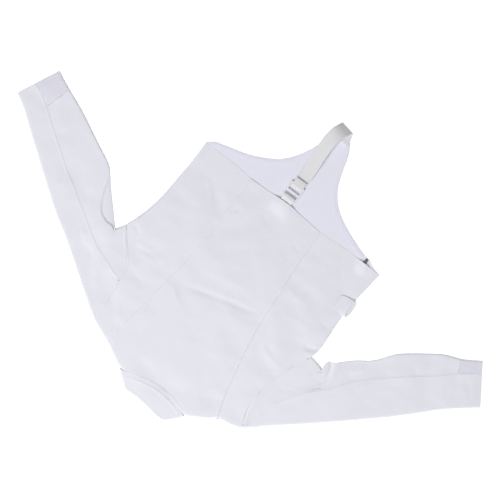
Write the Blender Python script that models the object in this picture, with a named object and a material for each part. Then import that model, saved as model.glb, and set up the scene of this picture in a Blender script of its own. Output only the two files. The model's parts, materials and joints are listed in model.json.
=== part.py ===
"""A fencing jacket, laid flat with its back up, as closed solids.

Sizes are millimetres in the tables and metres in the meshes. The origin is the middle of the back hem, on
the surface that the jacket lies on: +X to the wearer's right, +Y to the collar, +Z up.
"""

import bmesh
import bpy
import numpy as np

MM = 0.001

# Driving sizes
CLOTH = 2.0
COLLAR_CLOTH = 2.4
BODY_LENGTH = 500.0
HOLLOW = 3.0
BACK_TOP = 2 * CLOTH + HOLLOW
HEM_TOP = 5.4
HEM_FALL = 55.0
SEAM_HEIGHT = BACK_TOP / 2
SEAM_GAP = 0.3
ROLL = 5.5
ROLL_TURNS = np.cos(np.radians((0.0, 30.0, 60.0, 90.0)))
ROLL_STEPS = ROLL * (1 - ROLL_TURNS)
LEAST_HEIGHT = 2 * CLOTH + 0.6
CENTRE_LIFT = 0.7
SIDE_DROP = -0.2

# How fine the meshes are, and what counts as nothing, as a short way along a curve, or as a corner
SIDE_COLUMNS = 7
SLEEVE_COLUMNS = 6
CURVE_STEPS = 12
EDGE_SAMPLES = 13
TINY = 1e-6
SHORT_WAY = 0.002
CORNER_SINE = 0.2
SHARP_ANGLE = np.radians(50)

# Rows of the back panels, as shares of the way from hem to shoulder
CORNER_SHARE = 0.53
ROWS_TO_CORNER = 15
ROWS_TO_SHOULDER = 14
HEM_BAND = 11.0

# Outlines of the back, upward or from the wearer's left to right: columns x, y
HEM_LEFT = ((-250, 3), (-215, 2), (-152, 1), (-106, 4), (-82, 6))
HEM_CENTRE = ((-82, 6), (-28, 1), (8, -2), (45, -1), (80, 1), (120, 2))
HEM_RIGHT = ((120, 2), (157, -1), (191, -3), (228, -2), (253, -3))
SIDE_LEFT = (
    (-250, 3), (-246, 45), (-241, 83), (-239, 128), (-241, 184), (-244, 207), (-243, 228), (-239, 246),
)
SIDE_RIGHT = (
    (253, -3), (253, 29), (251, 46), (255, 81), (258, 143), (262, 185), (267, 207), (276, 232), (286, 256),
)
ARMHOLE_LEFT = (
    (-239, 246), (-232, 258), (-222, 274), (-211, 296), (-200, 344), (-191, 366), (-189, 400), (-192, 440),
    (-208, 475),
)
ARMHOLE_RIGHT = (
    (286, 256), (264, 287), (243, 311), (227, 334), (220, 365), (216, 407), (215, 440), (220, 475),
)
PRINCESS_LEFT = (
    (-82, 6), (-84, 60), (-85, 112), (-91, 171), (-96, 240), (-101, 289), (-116, 368), (-134, 449),
    (-150, 488),
)
PRINCESS_RIGHT = (
    (120, 2), (118, 50), (122, 120), (121, 190), (131, 289), (139, 345), (146, 405), (154, 451), (155, 502),
)
SHOULDER_LEFT_OUTER = ((-208, 475), (-180, 484), (-150, 488))
SHOULDER_LEFT_INNER = ((-150, 488), (-132, 504), (-114, 513), (-86, 532))
SHOULDER_RIGHT_INNER = ((101, 532), (140, 511), (155, 502))
SHOULDER_RIGHT_OUTER = ((155, 502), (171, 496), (201, 484), (220, 475))
NECK_BACK = ((-86, 532), (-67, 522), (-35, 514), (-1, 511), (32, 516), (59, 523), (81, 529), (101, 532))
NECK_FRONT_ZIP_SIDE = ((-86, 532), (-78, 522), (-69, 515))
NECK_FRONT_MAIN = ((-57, 504), (-30, 492), (8, 486), (45, 492), (78, 510), (101, 532))

# Columns of the centre panel that its shoulders and neck take
CENTRE_COLUMNS = 14
NECK_FIRST = 3
NECK_LAST = 11

# The flattened stand collar
COLLAR_LEFT = ((-86, 532), (-73, 548), (-59, 562))
COLLAR_RIGHT = ((101, 532), (84, 547), (61, 563))
COLLAR_EDGE = ((-59, 562), (-47, 569), (-19, 567), (6, 563), (32, 561), (61, 563))
COLLAR_LENGTH = 45.0
COLLAR_TOP = 6.6
COLLAR_SEAM_BAND = 9.0
COLLAR_SEAM_RIDGE = 0.7
COLLAR_ROWS = (0.0, 1.5, COLLAR_SEAM_BAND, COLLAR_SEAM_BAND + 2, 22.0, 34.0, COLLAR_LENGTH)

# The front, from the side seams round the legs to the tip of the crotch tongue
LEG_SIDE_LEFT = ((-250, 3), (-223, -5), (-213, -9))
LEG_LEFT = (
    (-199, -14), (-179, -18), (-153, -28), (-129, -37), (-105, -49), (-85, -61), (-69, -75), (-54, -96),
    (-44, -121), (-37, -150), (-27, -180), (-15, -201),
)
TONGUE_TIP = ((-15, -201), (24, -201))
LEG_RIGHT = (
    (24, -201), (36, -172), (47, -143), (55, -121), (71, -98), (86, -79), (102, -66), (123, -55),
    (152, -41), (181, -32), (214, -24), (237, -17), (253, -3),
)
FACING_WIDTH = 12.0
FACING_RISE = 0.6
FACING_STEP = 1.2
FRONT_WIDTH = 440.0
LEG_COLUMNS = (7, 2, 9)
NECK_FRONT_COLUMNS = 10
ZIP_SIDE_WIDTH = 60.0
ZIP_SIDE_COLUMNS = (0.35, 0.65, 0.85, 1.0)

# The zip on the wearer's left front
ZIP_LINE = ((-206, -12), (-196, 80), (-180, 180), (-155, 300), (-120, 410), (-80, 485), (-63, 507))
ZIP_WIDTH = 14.0
ZIP_THICKNESS = 1.9
SLIDER_CENTRE = (-205.5, -4.0)
SLIDER_SIZE = (8.0, 11.0, 2.3)
SLIDER_NOSE = 2.0
SLIDER_EDGE = 0.7

# The sleeves, from the armhole to the cuff
SLEEVE_LEFT_OUTER = (
    (-208, 475), (-223, 462), (-250, 437), (-334, 366), (-390, 317), (-458, 256), (-511, 204), (-550, 164),
    (-618, 108),
)
SLEEVE_LEFT_INNER = (
    (-239, 246), (-252, 248), (-265, 251), (-278, 256), (-284, 232), (-320, 194), (-353, 171), (-372, 147),
    (-385, 128), (-413, 104), (-473, 61), (-492, 52), (-511, 46), (-557, 18),
)
SLEEVE_RIGHT_OUTER = (
    (220, 475), (245, 460), (277, 436), (300, 420), (354, 383), (420, 343), (478, 303), (534, 262),
    (589, 222), (632, 189), (668, 168),
)
SLEEVE_RIGHT_INNER = (
    (286, 256), (300, 280), (320, 259), (346, 231), (372, 203), (393, 176), (407, 167), (457, 143),
    (520, 111), (568, 91), (620, 68),
)
ARMHOLE_GAP = 0.45
ARMHOLE_BAND = 9.0
ARMHOLE_RIDGE = 0.7
ARMHOLE_ROWS = (ARMHOLE_GAP, 1.8, ARMHOLE_BAND, ARMHOLE_BAND + 2.5)
CUFF_TOP = 5.8
CUFF_FALL = 0.06
UNDER_SEAM_SHARE = 0.35
SLEEVE_LENGTH = 540.0

# Rows of a sleeve, as shares of its length: the first below the armhole's band, so that one stands at the
# bottom of the underarm notch, the start of the rib, and those of the cuff
FIRST_ROW_LEFT = 0.0505
FIRST_ROW_RIGHT = 0.0675
RIB_SHARE = 0.885
CUFF_ROWS = (0.945, 0.98, 1.0)
SLEEVE_ROWS = 19

# The back seam of each sleeve, from the armhole to the cuff: columns x, y
SEAM_LEFT = (
    (-222, 456), (-225, 421), (-231, 391), (-247, 364), (-267, 332), (-293, 303), (-323, 274), (-343, 242),
    (-359, 224), (-385, 200), (-438, 154), (-493, 110), (-533, 74), (-573, 44),
)
SEAM_RIGHT = (
    (219, 369), (243, 364), (275, 352), (308, 341), (343, 320), (389, 291), (434, 262), (470, 241),
    (508, 214), (552, 184), (606, 145), (644, 126),
)
LEAST_SEAM_SHARE = 0.035
SEAM_SAMPLES = 400
ACROSS_SAMPLES = 60

# How far the outer piece of a sleeve stands over the inner one at their seam, and how far from it
LAP_RISE = 0.3
LAP_WIDTH = 16.0

# The underarm ledge of the right sleeve: columns share of the length, width in from the inner edge
LEDGE_RIGHT = (
    (0.0, 0.0), (0.065, 2.0), (0.12, 24.0), (0.19, 42.0), (0.255, 49.0), (0.3, 34.0), (0.335, 0.0),
)
LEDGE_DROP = 2.4
LEDGE_EDGE = 4.0
LEAST_LEDGE = 10.0

# Largest folds: columns start, middle, end, half width, height
FOLD_SAMPLES = 15
BACK_FOLDS = (
    ((94, 292), (10, 266), (-87, 242), 13, -1.9),
    ((94, 312), (10, 287), (-87, 262), 12, 0.9),
    ((77, 250), (9, 237), (-63, 214), 11, -1.2),
    ((110, 140), (70, 102), (43, 50), 14, -1.5),
    ((128, 124), (92, 84), (64, 40), 12, 0.7),
    ((-23, 100), (-38, 97), (-52, 93), 10, -0.8),
    ((216, 38), (173, 72), (132, 113), 12, -1.5),
    ((195, 21), (176, 37), (154, 50), 10, -1.0),
    ((254, 56), (240, 58), (222, 60), 10, -0.8),
    ((262, 281), (238, 285), (206, 278), 10, -1.6),
    ((226, 303), (197, 301), (169, 299), 11, -1.2),
    ((203, 342), (190, 341), (176, 340), 11, -0.8),
    ((195, 267), (176, 264), (157, 262), 10, -0.8),
    ((123, 290), (95, 310), (65, 322), 11, -1.0),
    ((142, 418), (122, 428), (107, 441), 11, -0.8),
    ((210, 414), (188, 440), (164, 465), 13, -1.1),
    ((62, 497), (30, 497), (0, 499), 13, -1.6),
    ((-10, 502), (-72, 481), (-124, 462), 14, -1.3),
    ((-39, 326), (-62, 324), (-91, 322), 11, -1.0),
    ((-121, 299), (-158, 322), (-200, 324), 13, -1.4),
    ((-139, 398), (-156, 390), (-174, 382), 11, -0.8),
    ((-138, 434), (-165, 443), (-184, 459), 12, -1.2),
    ((-103, 138), (-137, 144), (-181, 138), 13, -1.4),
    ((-98, 165), (-115, 169), (-133, 173), 10, -0.7),
    ((-125, 194), (-162, 189), (-197, 186), 11, -0.9),
    ((-205, 238), (-220, 227), (-238, 220), 11, -1.8),
    ((-228, 80), (-205, 104), (-222, 130), 9, -1.4),
    ((-214, 2), (-206, 3), (-198, 3), 13, 1.7),
    ((12, 2), (27, 3), (42, 2), 14, 1.0),
)
SLEEVE_FOLDS = (
    ((248, 380), (250, 406), (245, 440), 11, -1.6),
    ((270, 300), (283, 330), (282, 372), 12, -1.0),
    ((434, 241), (429, 214), (426, 185), 11, -1.0),
    ((498, 264), (491, 254), (484, 244), 11, -0.8),
    ((589, 160), (576, 135), (552, 112), 10, -1.3),
    ((312, 298), (362, 292), (388, 236), 11, 1.5),
    ((-208, 351), (-216, 335), (-221, 319), 11, -1.4),
    ((-284, 290), (-297, 264), (-290, 240), 10, -2.2),
    ((-313, 213), (-327, 198), (-341, 184), 10, -2.0),
    ((-346, 235), (-368, 196), (-385, 154), 12, -1.5),
    ((-413, 258), (-413, 235), (-422, 209), 12, -1.2),
    ((-452, 81), (-465, 98), (-477, 114), 10, -1.0),
    ((-496, 59), (-507, 73), (-517, 87), 10, -1.0),
    ((-483, 126), (-503, 152), (-522, 178), 12, -1.2),
    ((-541, 89), (-554, 106), (-567, 124), 11, -1.0),
)

# The crotch strap: columns x, y, height of its middle, width, turn of its width in degrees
STRAP_THICKNESS = 1.4
STRAP_STATIONS = (
    (23, -64, 8.6, 29.0, 0), (23, -56, 8.5, 29.0, 0), (23, -50.5, 8.15, 29.0, 0),
    (23, -45.5, 8.05, 29.0, 0), (23, -42.9, 7.1, 29.0, 0), (23, -42.3, 5.5, 29.0, 0),
    (23, -42.9, 4.0, 29.0, 0), (23, -45.5, 3.1, 29.0, 0), (23, -50.5, 3.1, 29.0, 0),
    (23, -57, 3.5, 29.5, -1), (22.5, -66, 4.6, 30.0, -2), (22, -82, 6.4, 31.0, -3),
    (23, -100, 9.0, 32.0, -5), (25, -122, 12.6, 33.0, -8), (26.5, -145, 16.6, 33.5, -12),
    (27, -168, 20.4, 34.0, -15), (25.5, -186, 22.8, 34.0, -17), (22.5, -199, 22.8, 34.0, -17),
    (19, -208, 20.4, 34.0, -16), (15.5, -215.5, 16.0, 34.0, -15), (13, -221, 11.4, 34.0, -13),
    (11, -223.5, 8.0, 34.0, -11), (9, -220, 5.4, 34.0, -8), (7, -211, 4.1, 34.0, -5),
    (5, -202, 3.65, 34.0, -2), (4.5, -190, 3.65, 34.0, 0),
)
STRAP_COLUMNS = 4

# The plastic slide at the back hem
SLIDE_CENTRE = (23.5, -32.0)
SLIDE_SIZE = (38.0, 38.0, 3.0)
SLIDE_UNDERSIDE = 4.0
SLIDE_SLOT_WIDTH = 30.4
SLIDE_SLOTS = ((-23.0, 10.0), (-38.5, 13.0))
SLIDE_CORNER = 3.5
SLIDE_EDGE = 0.6

# The webbing tab round the first bar of the slide: columns y, height of its middle
TAB_THICKNESS = 1.2
TAB_WIDTH = 29.0
TAB_PATH = (
    (14, 3.0), (3, 3.1), (-3, 4.0), (-8, 6.2), (-11.5, 7.7), (-15.5, 8.05), (-19.0, 7.6), (-20.3, 5.9),
    (-20.0, 4.0), (-17.8, 3.0), (-12.5, 2.95), (-9.0, 2.95),
)

# The side loop, a flat tube of cloth: columns x, middle height, half length along the seam, half height
LOOP_MIDDLE = 106.0
LOOP_CLOTH = 1.4
LOOP_STATIONS = (
    (-207, 9.1, 14.0, 1.55), (-216, 9.8, 18.0, 2.3), (-226, 10.9, 20.5, 3.4), (-236, 11.8, 21.5, 4.4),
    (-245, 11.7, 21.5, 4.7),
)
LOOP_LIP = 5.0
LOOP_SIDES = 20

# Colours as they look, from 0 to 255
JACKET_WHITE = (226, 226, 234)
LINING_WHITE = (222, 222, 232)
RIB_WHITE = (214, 213, 225)
STRAP_WHITE = (229, 229, 228)
SLIDE_WHITE = (224, 223, 227)
SLIDER_METAL = (96, 96, 104)


def smooth_curve(points):
    """The curve through the points, as a function of the share of its length."""
    points = np.array(points, float)
    first = 2 * points[0] - points[1]
    last = 2 * points[-1] - points[-2]
    controls = np.vstack((first, points, last))
    dense = [points[0]]
    for a, b, c, d in zip(controls, controls[1:], controls[2:], controls[3:]):
        for t in np.linspace(0, 1, CURVE_STEPS + 1)[1:]:
            square = (2 * a - 5 * b + 4 * c - d) * t**2
            cube = (3 * b - a - 3 * c + d) * t**3
            dense.append((2 * b + (c - a) * t + square + cube) / 2)
    return along(np.array(dense))


def along(points, shares=None):
    """The straight pieces between points, as a function of the share of their length or of given shares."""
    points = np.asarray(points, float)
    if shares is None:
        lengths = np.linalg.norm(np.diff(points, axis=0), axis=1)
        shares = np.concatenate(((0.0,), np.cumsum(lengths))) / lengths.sum()

    def at(share):
        return np.stack([np.interp(share, shares, column) for column in points.T], axis=-1)

    return at


def chained(curves, breaks, shares):
    """Points at the shares along several curves, which meet at the breaks."""
    starts = (0.0,) + tuple(breaks)
    ends = tuple(breaks) + (1.0,)
    points = np.zeros((len(shares), 2))
    for curve, start, end in zip(curves, starts, ends):
        inside = (shares >= start - TINY) & (shares <= end + TINY)
        points[inside] = smooth_curve(curve)((shares[inside] - start) / (end - start))
    return points


def sideways(steps):
    """The directions to the left of some steps, one unit long."""
    left = np.stack((-steps[:, 1], steps[:, 0]), axis=1)
    return left / np.linalg.norm(left, axis=1)[:, None]


def pulled_in(edges, gaps):
    """Moves the bottom, right, top and left edge of a panel inward, each by its own gap."""
    bottom, right, top, left = edges
    loop = np.vstack((bottom[:-1], right[:-1], top[:0:-1], left[:0:-1]))
    edge_gaps = np.repeat(gaps, [len(edge) - 1 for edge in (bottom, right, top, left)])
    inward = sideways(np.roll(loop, -1, axis=0) - loop)
    moved = loop.copy()
    for index in range(len(loop)):
        pair = inward[[index - 1, index]]
        pair_gaps = edge_gaps[[index - 1, index]]
        if abs(np.linalg.det(pair)) < CORNER_SINE:
            moved[index] += (pair * pair_gaps[:, None]).mean(axis=0)
        else:
            moved[index] += np.linalg.solve(pair, pair_gaps)
    first, second, third = np.cumsum([len(edge) - 1 for edge in (bottom, right, top)])
    around = np.vstack((moved, moved[:1]))
    forward = around[: first + 1], around[first : second + 1]
    return *forward, around[second : third + 1][::-1], around[third:][::-1]


def filled(edges, u, v):
    """Plan points inside a bottom, right, top and left edge, at the shares u across and v along."""
    bottom, right, top, left = edges
    u = u[..., None]
    v = v[..., None]
    first_corners = (1 - v) * bottom(0.0) + v * top(0.0)
    last_corners = (1 - v) * bottom(1.0) + v * top(1.0)
    between_ends = (1 - v) * bottom(u[..., 0]) + v * top(u[..., 0])
    between_sides = (1 - u) * left(v[..., 0]) + u * right(v[..., 0])
    return between_ends + between_sides - (1 - u) * first_corners - u * last_corners


def soft_step(value):
    value = np.clip(value, 0, 1)
    return value * value * (3 - 2 * value)


def from_table(table, share):
    shares, values = np.array(table).T
    return np.interp(share, shares, values)


def fold_height(plan, folds):
    """The height that the folds add at plan points."""
    height = np.zeros(plan.shape[:-1])
    shares = np.linspace(0, 1, FOLD_SAMPLES)[:, None]
    for start, middle, end, half_width, depth in folds:
        start, middle, end = (np.array(point, float) for point in (start, middle, end))
        bow = 2 * middle - (start + end) / 2
        line = (1 - shares) ** 2 * start + 2 * shares * (1 - shares) * bow + shares**2 * end
        away = np.linalg.norm(plan[..., None, :] - line, axis=-1).min(axis=-1)
        height += depth * np.exp(-((away / half_width) ** 2))
    return height


def body_rest(plan):
    """The height of the back without its folds: it comes down to the front at the hem."""
    return HEM_TOP + (BACK_TOP - HEM_TOP) * soft_step(plan[..., 1] / HEM_FALL)


def colour(look):
    """A colour from 0 to 255 as the linear values that a material takes."""
    shares = np.array(look) / 255
    linear = np.where(shares <= 0.04045, shares / 12.92, ((shares + 0.055) / 1.055) ** 2.4)
    return (*linear, 1.0)


def material(name, look, roughness, metallic=0.0):
    made = bpy.data.materials.new(name)
    made.use_nodes = True
    shader = made.node_tree.nodes["Principled BSDF"]
    shader.inputs["Base Color"].default_value = colour(look)
    shader.inputs["Roughness"].default_value = roughness
    shader.inputs["Metallic"].default_value = metallic
    made.diffuse_color = colour(look)
    return made


def placed(name, bm, surface):
    """Makes the object from its closed mesh, with its faces turned outwards."""
    bmesh.ops.recalc_face_normals(bm, faces=bm.faces)
    if bm.calc_volume(signed=True) < 0:
        bmesh.ops.reverse_faces(bm, faces=bm.faces)
    mesh = bpy.data.meshes.new(name)
    bm.to_mesh(mesh)
    bm.free()
    mesh.shade_smooth()
    mesh.set_sharp_from_angle(angle=SHARP_ANGLE)
    mesh.materials.append(surface)
    thing = bpy.data.objects.new(name, mesh)
    bpy.context.scene.collection.objects.link(thing)
    return thing


def skin(bm, points):
    """A grid of faces through rows of points, and its vertices in the same order."""
    rows, columns = points.shape[:2]
    made = bmesh.ops.create_grid(bm, x_segments=columns - 1, y_segments=rows - 1, size=1)["verts"]
    for vert, point in zip(made, points.reshape(-1, 3)):
        vert.co = point * MM
    return np.array(made, dtype=object).reshape(rows, columns)


def wall(name, outer, inner, surface):
    """A closed wall of cloth between rows of outer points and rows of inner points."""
    bm = bmesh.new()
    rims = []
    for points in (outer, inner):
        verts = skin(bm, points)
        rims.append([*verts[0, :-1], *verts[:-1, -1], *verts[-1, :0:-1], *verts[:0:-1, 0]])
    for index, (outside, inside) in enumerate(zip(*rims)):
        bm.faces.new((rims[0][index - 1], outside, inside, rims[1][index - 1]))
    return placed(name, bm, surface)


def inner_plan(plan, turns, ends, thickness):
    """The plan points of a wall's inner side: where the wall turns down at an edge, they lie inside it.

    turns holds 1 where the wall stands upright at an edge and 0 where it lies flat, for the columns and the
    rows. ends says which way is inward: 1 to later columns or rows, -1 to earlier ones.
    """
    moved = plan.copy()
    for axis, turn, end in zip((1, 0), turns, ends):
        ahead = np.gradient(plan, axis=axis)
        ahead /= np.linalg.norm(ahead, axis=-1)[..., None]
        moved += thickness * (turn * end)[..., None] * ahead
    return moved


def two_sides(plan, turns, ends, height_at, edge_at, thickness):
    """The outer and inner points of a panel whose edges turn down, or up, to the edge's height."""
    flat = np.sqrt((1 - turns[0] ** 2) * (1 - turns[1] ** 2))
    sides = []
    for points, offset in ((plan, 0.0), (inner_plan(plan, turns, ends, np.abs(thickness)), thickness)):
        edge = edge_at(points)
        height = edge + (height_at(points) + offset - edge) * flat
        sides.append(np.concatenate((points, height[..., None]), axis=-1))
    return sides


def column_shares(left, right, left_steps, right_steps, inner_columns):
    """For each row, the shares across at which its columns stand."""
    rows = []
    for width in np.linalg.norm(right - left, axis=1):
        last = width - np.asarray(right_steps)[::-1]
        middle = np.linspace(left_steps[-1], last[0], inner_columns + 1)[1:-1]
        rows.append(np.concatenate((left_steps, middle, last)) / width)
    return np.array(rows)


def back_rows():
    """The rows of the back panels, from the hem up: the last four turn down at the shoulder."""
    shoulder = 1 - ROLL_STEPS[::-1] / BODY_LENGTH
    lower = np.linspace(HEM_BAND / BODY_LENGTH, CORNER_SHARE, ROWS_TO_CORNER)
    upper = np.linspace(CORNER_SHARE, shoulder[0], ROWS_TO_SHOULDER)
    return np.concatenate(((0.0,), lower, upper[1:], shoulder[1:]))


def back_panel(name, plan, turns, ends, lift, surface):
    def height_at(points):
        return np.maximum(body_rest(points) + lift + fold_height(points, BACK_FOLDS), LEAST_HEIGHT)

    def edge_at(points):
        return body_rest(points) / 2 + SEAM_GAP / 2

    return wall(name, *two_sides(plan, turns, ends, height_at, edge_at, -CLOTH), surface)


def back_side(name, hem, princess, side, armhole, shoulder, is_right, surface):
    """A side panel of the back, between the princess seam and the side seam and armhole."""
    rows = back_rows()
    seam = smooth_curve(princess)(rows)
    free = chained((side, armhole), (CORNER_SHARE,), rows)
    left, right = (seam, free) if is_right else (free, seam)
    shares = np.linspace(0, 1, EDGE_SAMPLES)
    edges = (smooth_curve(hem)(shares), right, smooth_curve(shoulder)(shares), left)
    bottom, right, top, left = pulled_in(edges, (0.0, SEAM_GAP / 2, 0.0, SEAM_GAP / 2))
    steps = ((0.0,), ROLL_STEPS) if is_right else (ROLL_STEPS, (0.0,))
    u = column_shares(left, right, *steps, SIDE_COLUMNS)
    v = np.broadcast_to(rows[:, None], u.shape)
    bounds = (along(bottom, shares), along(right, rows), along(top, shares), along(left, rows))
    plan = filled(bounds, u, v)
    turns = np.zeros((2, *u.shape))
    on_side = rows <= CORNER_SHARE + TINY
    if is_right:
        turns[0, on_side, -4:] = ROLL_TURNS[::-1]
    else:
        turns[0, on_side, :4] = ROLL_TURNS
    turns[1, -4:, :] = ROLL_TURNS[::-1, None]
    return back_panel(name, plan, turns, (-1 if is_right else 1, -1), SIDE_DROP, surface)


def back_neck():
    """The points of the back's neckline, where its columns end."""
    return smooth_curve(NECK_BACK)(np.linspace(0, 1, NECK_LAST - NECK_FIRST + 1))


def front_neck():
    """The points of the fronts' neckline, where their columns end."""
    main_side = smooth_curve(NECK_FRONT_MAIN)(np.linspace(0, 1, NECK_FRONT_COLUMNS + 1))
    return np.vstack((NECK_FRONT_ZIP_SIDE[0], NECK_FRONT_ZIP_SIDE[-1], main_side))


def back_centre(surface):
    """The centre panel of the back, between the princess seams, from the hem to the neck."""
    rows = back_rows()
    columns = np.linspace(0, 1, CENTRE_COLUMNS + 1)
    breaks = (NECK_FIRST / CENTRE_COLUMNS, NECK_LAST / CENTRE_COLUMNS)
    top = chained((SHOULDER_LEFT_INNER, NECK_BACK, SHOULDER_RIGHT_INNER), breaks, columns)
    left, right = (smooth_curve(seam)(rows) for seam in (PRINCESS_LEFT, PRINCESS_RIGHT))
    edges = (smooth_curve(HEM_CENTRE)(columns), right, top, left)
    gap = SEAM_GAP / 2
    bottom, right, top, left = pulled_in(edges, (0.0, gap, gap, gap))
    u, v = np.meshgrid(columns, rows)
    bounds = (along(bottom, columns), along(right, rows), along(top, columns), along(left, rows))
    plan = filled(bounds, u, v)
    turns = np.zeros((2, *u.shape))
    on_shoulder = (columns <= breaks[0] + TINY) | (columns >= breaks[1] - TINY)
    turns[1][-4:, on_shoulder] = ROLL_TURNS[::-1, None]
    return back_panel("back_centre", plan, turns, (1, -1), CENTRE_LIFT, surface)


def collar_half(name, neck, is_back, surface):
    """Half of the stand collar: the back half lies on the front half."""
    neck_steps = np.linalg.norm(np.diff(neck, axis=0), axis=1)
    neck_shares = np.concatenate(((0.0,), np.cumsum(neck_steps))) / neck_steps.sum()
    edge_shares = np.linspace(0, 1, EDGE_SAMPLES)
    distances = np.array(COLLAR_ROWS)
    rows = distances / COLLAR_LENGTH
    left, right = (smooth_curve(end)(rows) for end in (COLLAR_LEFT, COLLAR_RIGHT))
    edges = (neck, right, smooth_curve(COLLAR_EDGE)(edge_shares), left)
    bottom, right, top, left = pulled_in(edges, (SEAM_GAP / 2, 0.0, 0.0, 0.0))
    widths = np.linalg.norm(right - left, axis=1)[:, None]
    inner_shares = np.broadcast_to(neck_shares[1:-1], (len(rows), len(neck) - 2))
    u = np.hstack((ROLL_STEPS / widths, inner_shares, 1 - ROLL_STEPS[::-1] / widths))
    v = np.broadcast_to(rows[:, None], u.shape)
    bounds = (along(bottom, neck_shares), along(right, rows), along(top, edge_shares), along(left, rows))
    plan = filled(bounds, u, v)
    turns = np.zeros((2, *u.shape))
    turns[0, :, :4] = ROLL_TURNS
    turns[0, :, -4:] = ROLL_TURNS[::-1]
    inward = np.where(np.arange(u.shape[1]) < u.shape[1] / 2, 1, -1)
    ridge = COLLAR_SEAM_RIDGE * ((distances > 1) & (distances < COLLAR_SEAM_BAND + 1))
    level = BACK_TOP + CENTRE_LIFT + (COLLAR_TOP - BACK_TOP - CENTRE_LIFT) * rows + ridge

    def height_at(points):
        return level[:, None] if is_back else 0.0

    def edge_at(points):
        return SEAM_HEIGHT + (SEAM_GAP / 2 if is_back else -SEAM_GAP / 2)

    thickness = -COLLAR_CLOTH if is_back else CLOTH
    return wall(name, *two_sides(plan, turns, (inward, -1), height_at, edge_at, thickness), surface)


def front_rows():
    """Each third row of the back, its corner and its shoulder rows, so that the armholes share points."""
    rows = back_rows()[1:]
    corner = ROWS_TO_CORNER - 1
    shoulder = len(rows) - 4
    kept = {*range(0, corner, 3), corner, *range(corner + 3, shoulder - 1, 3), *range(shoulder, len(rows))}
    return rows[sorted(kept)]


def facing_rows():
    """The rows of the fronts: the leg's edge, the inner edge of its facing, and those above."""
    facing = np.array((0.0, FACING_WIDTH, FACING_WIDTH + FACING_STEP)) / BODY_LENGTH
    return np.concatenate((facing, front_rows()[1:]))


def inset_edge(points, distance, corner_columns, first, last):
    """An edge moved to the left of its run, between two given ends."""
    inward = sideways(np.diff(points, axis=0))
    moved = points.copy()
    for index in range(1, len(points) - 1):
        pair = inward[index - 1 : index + 1]
        if index in corner_columns:
            moved[index] += np.linalg.solve(pair, (distance, distance))
        else:
            middle = pair.sum(axis=0)
            moved[index] += distance * middle / np.linalg.norm(middle)
    moved[0] = first
    moved[-1] = last
    return moved


def zip_edge(offset):
    """Points beside the zip's middle line at the fronts' rows, offset to the wearer's right."""
    line = smooth_curve(ZIP_LINE)
    shares = facing_rows()
    ahead = line(np.minimum(shares + SHORT_WAY, 1)) - line(np.maximum(shares - SHORT_WAY, 0))
    return line(shares) - offset * sideways(ahead)


def side_edge(side, armhole):
    """The side seam and armhole at the fronts' rows, from the hem up."""
    rows = facing_rows()
    rows[2] = front_rows()[0]
    return chained((side, armhole), (CORNER_SHARE,), rows)


def front_panel(name, bottom, top, left, right, columns, side, on_shoulder, corner_columns, surface):
    """A front panel, flat on the surface below, with its outer side down. It turns up at the side seam.

    The edges are points, and left and right start with the two rows of the leg's facing. side is the column
    of the side seam, 0 or -1.
    """
    rows = front_rows()
    shares = (rows - rows[0]) / (rows[-1] - rows[0])
    bottom[0] = left[0]
    bottom[-1] = right[0]
    top[0] = left[-1]
    top[-1] = right[-1]
    facing = inset_edge(bottom, FACING_WIDTH, corner_columns, left[1], right[1])
    above = inset_edge(bottom, FACING_WIDTH + FACING_STEP, corner_columns, left[2], right[2])
    gap = SEAM_GAP / 2
    edges = pulled_in((above, right[2:], top, left[2:]), (0.0, gap, gap, gap))
    bounds = [along(edge, marks) for edge, marks in zip(edges, (columns, shares, columns, shares))]
    u, v = np.meshgrid(columns, shares)
    plan = np.concatenate((bottom[None], facing[None], filled(bounds, u, v)))
    turns = np.zeros((2, *plan.shape[:2]))
    on_side = np.concatenate(((True, True), rows <= CORNER_SHARE + TINY))
    if side == 0:
        turns[0, on_side, :4] = ROLL_TURNS
        plan[:2, -1, 0] -= gap
    else:
        turns[0, on_side, -4:] = ROLL_TURNS[::-1]
        plan[:2, 0, 0] += gap
    turns[1][-4:, on_shoulder] = ROLL_TURNS[::-1, None]

    def edge_at(points):
        return body_rest(points) / 2 - SEAM_GAP / 2

    outer, inner = two_sides(plan, turns, (1 if side == 0 else -1, -1), lambda points: 0.0, edge_at, CLOTH)
    inner[:2, :, 2] += FACING_RISE * (turns[0, :2] == 0)
    return wall(name, outer, inner, surface)


def front_main(surface):
    """The main front, with the crotch tongue below the hem."""
    corners = np.cumsum(LEG_COLUMNS)
    total = corners[-1]
    columns = np.concatenate((np.linspace(0, 1, total + 1)[:-1], 1 - ROLL_STEPS[::-1] / FRONT_WIDTH))
    breaks = corners[:2] / total
    bottom = chained((LEG_LEFT, TONGUE_TIP, LEG_RIGHT), breaks, columns)
    neck_end = columns[NECK_FRONT_COLUMNS]
    top = chained((NECK_FRONT_MAIN, SHOULDER_RIGHT_INNER + SHOULDER_RIGHT_OUTER[1:]), (neck_end,), columns)
    left = zip_edge(ZIP_WIDTH / 2)
    right = side_edge(SIDE_RIGHT, ARMHOLE_RIGHT)
    on_shoulder = columns >= neck_end - TINY
    tongue_corners = set(corners[:2])
    return front_panel(
        "front_main", bottom, top, left, right, columns, -1, on_shoulder, tongue_corners, surface
    )


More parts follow.
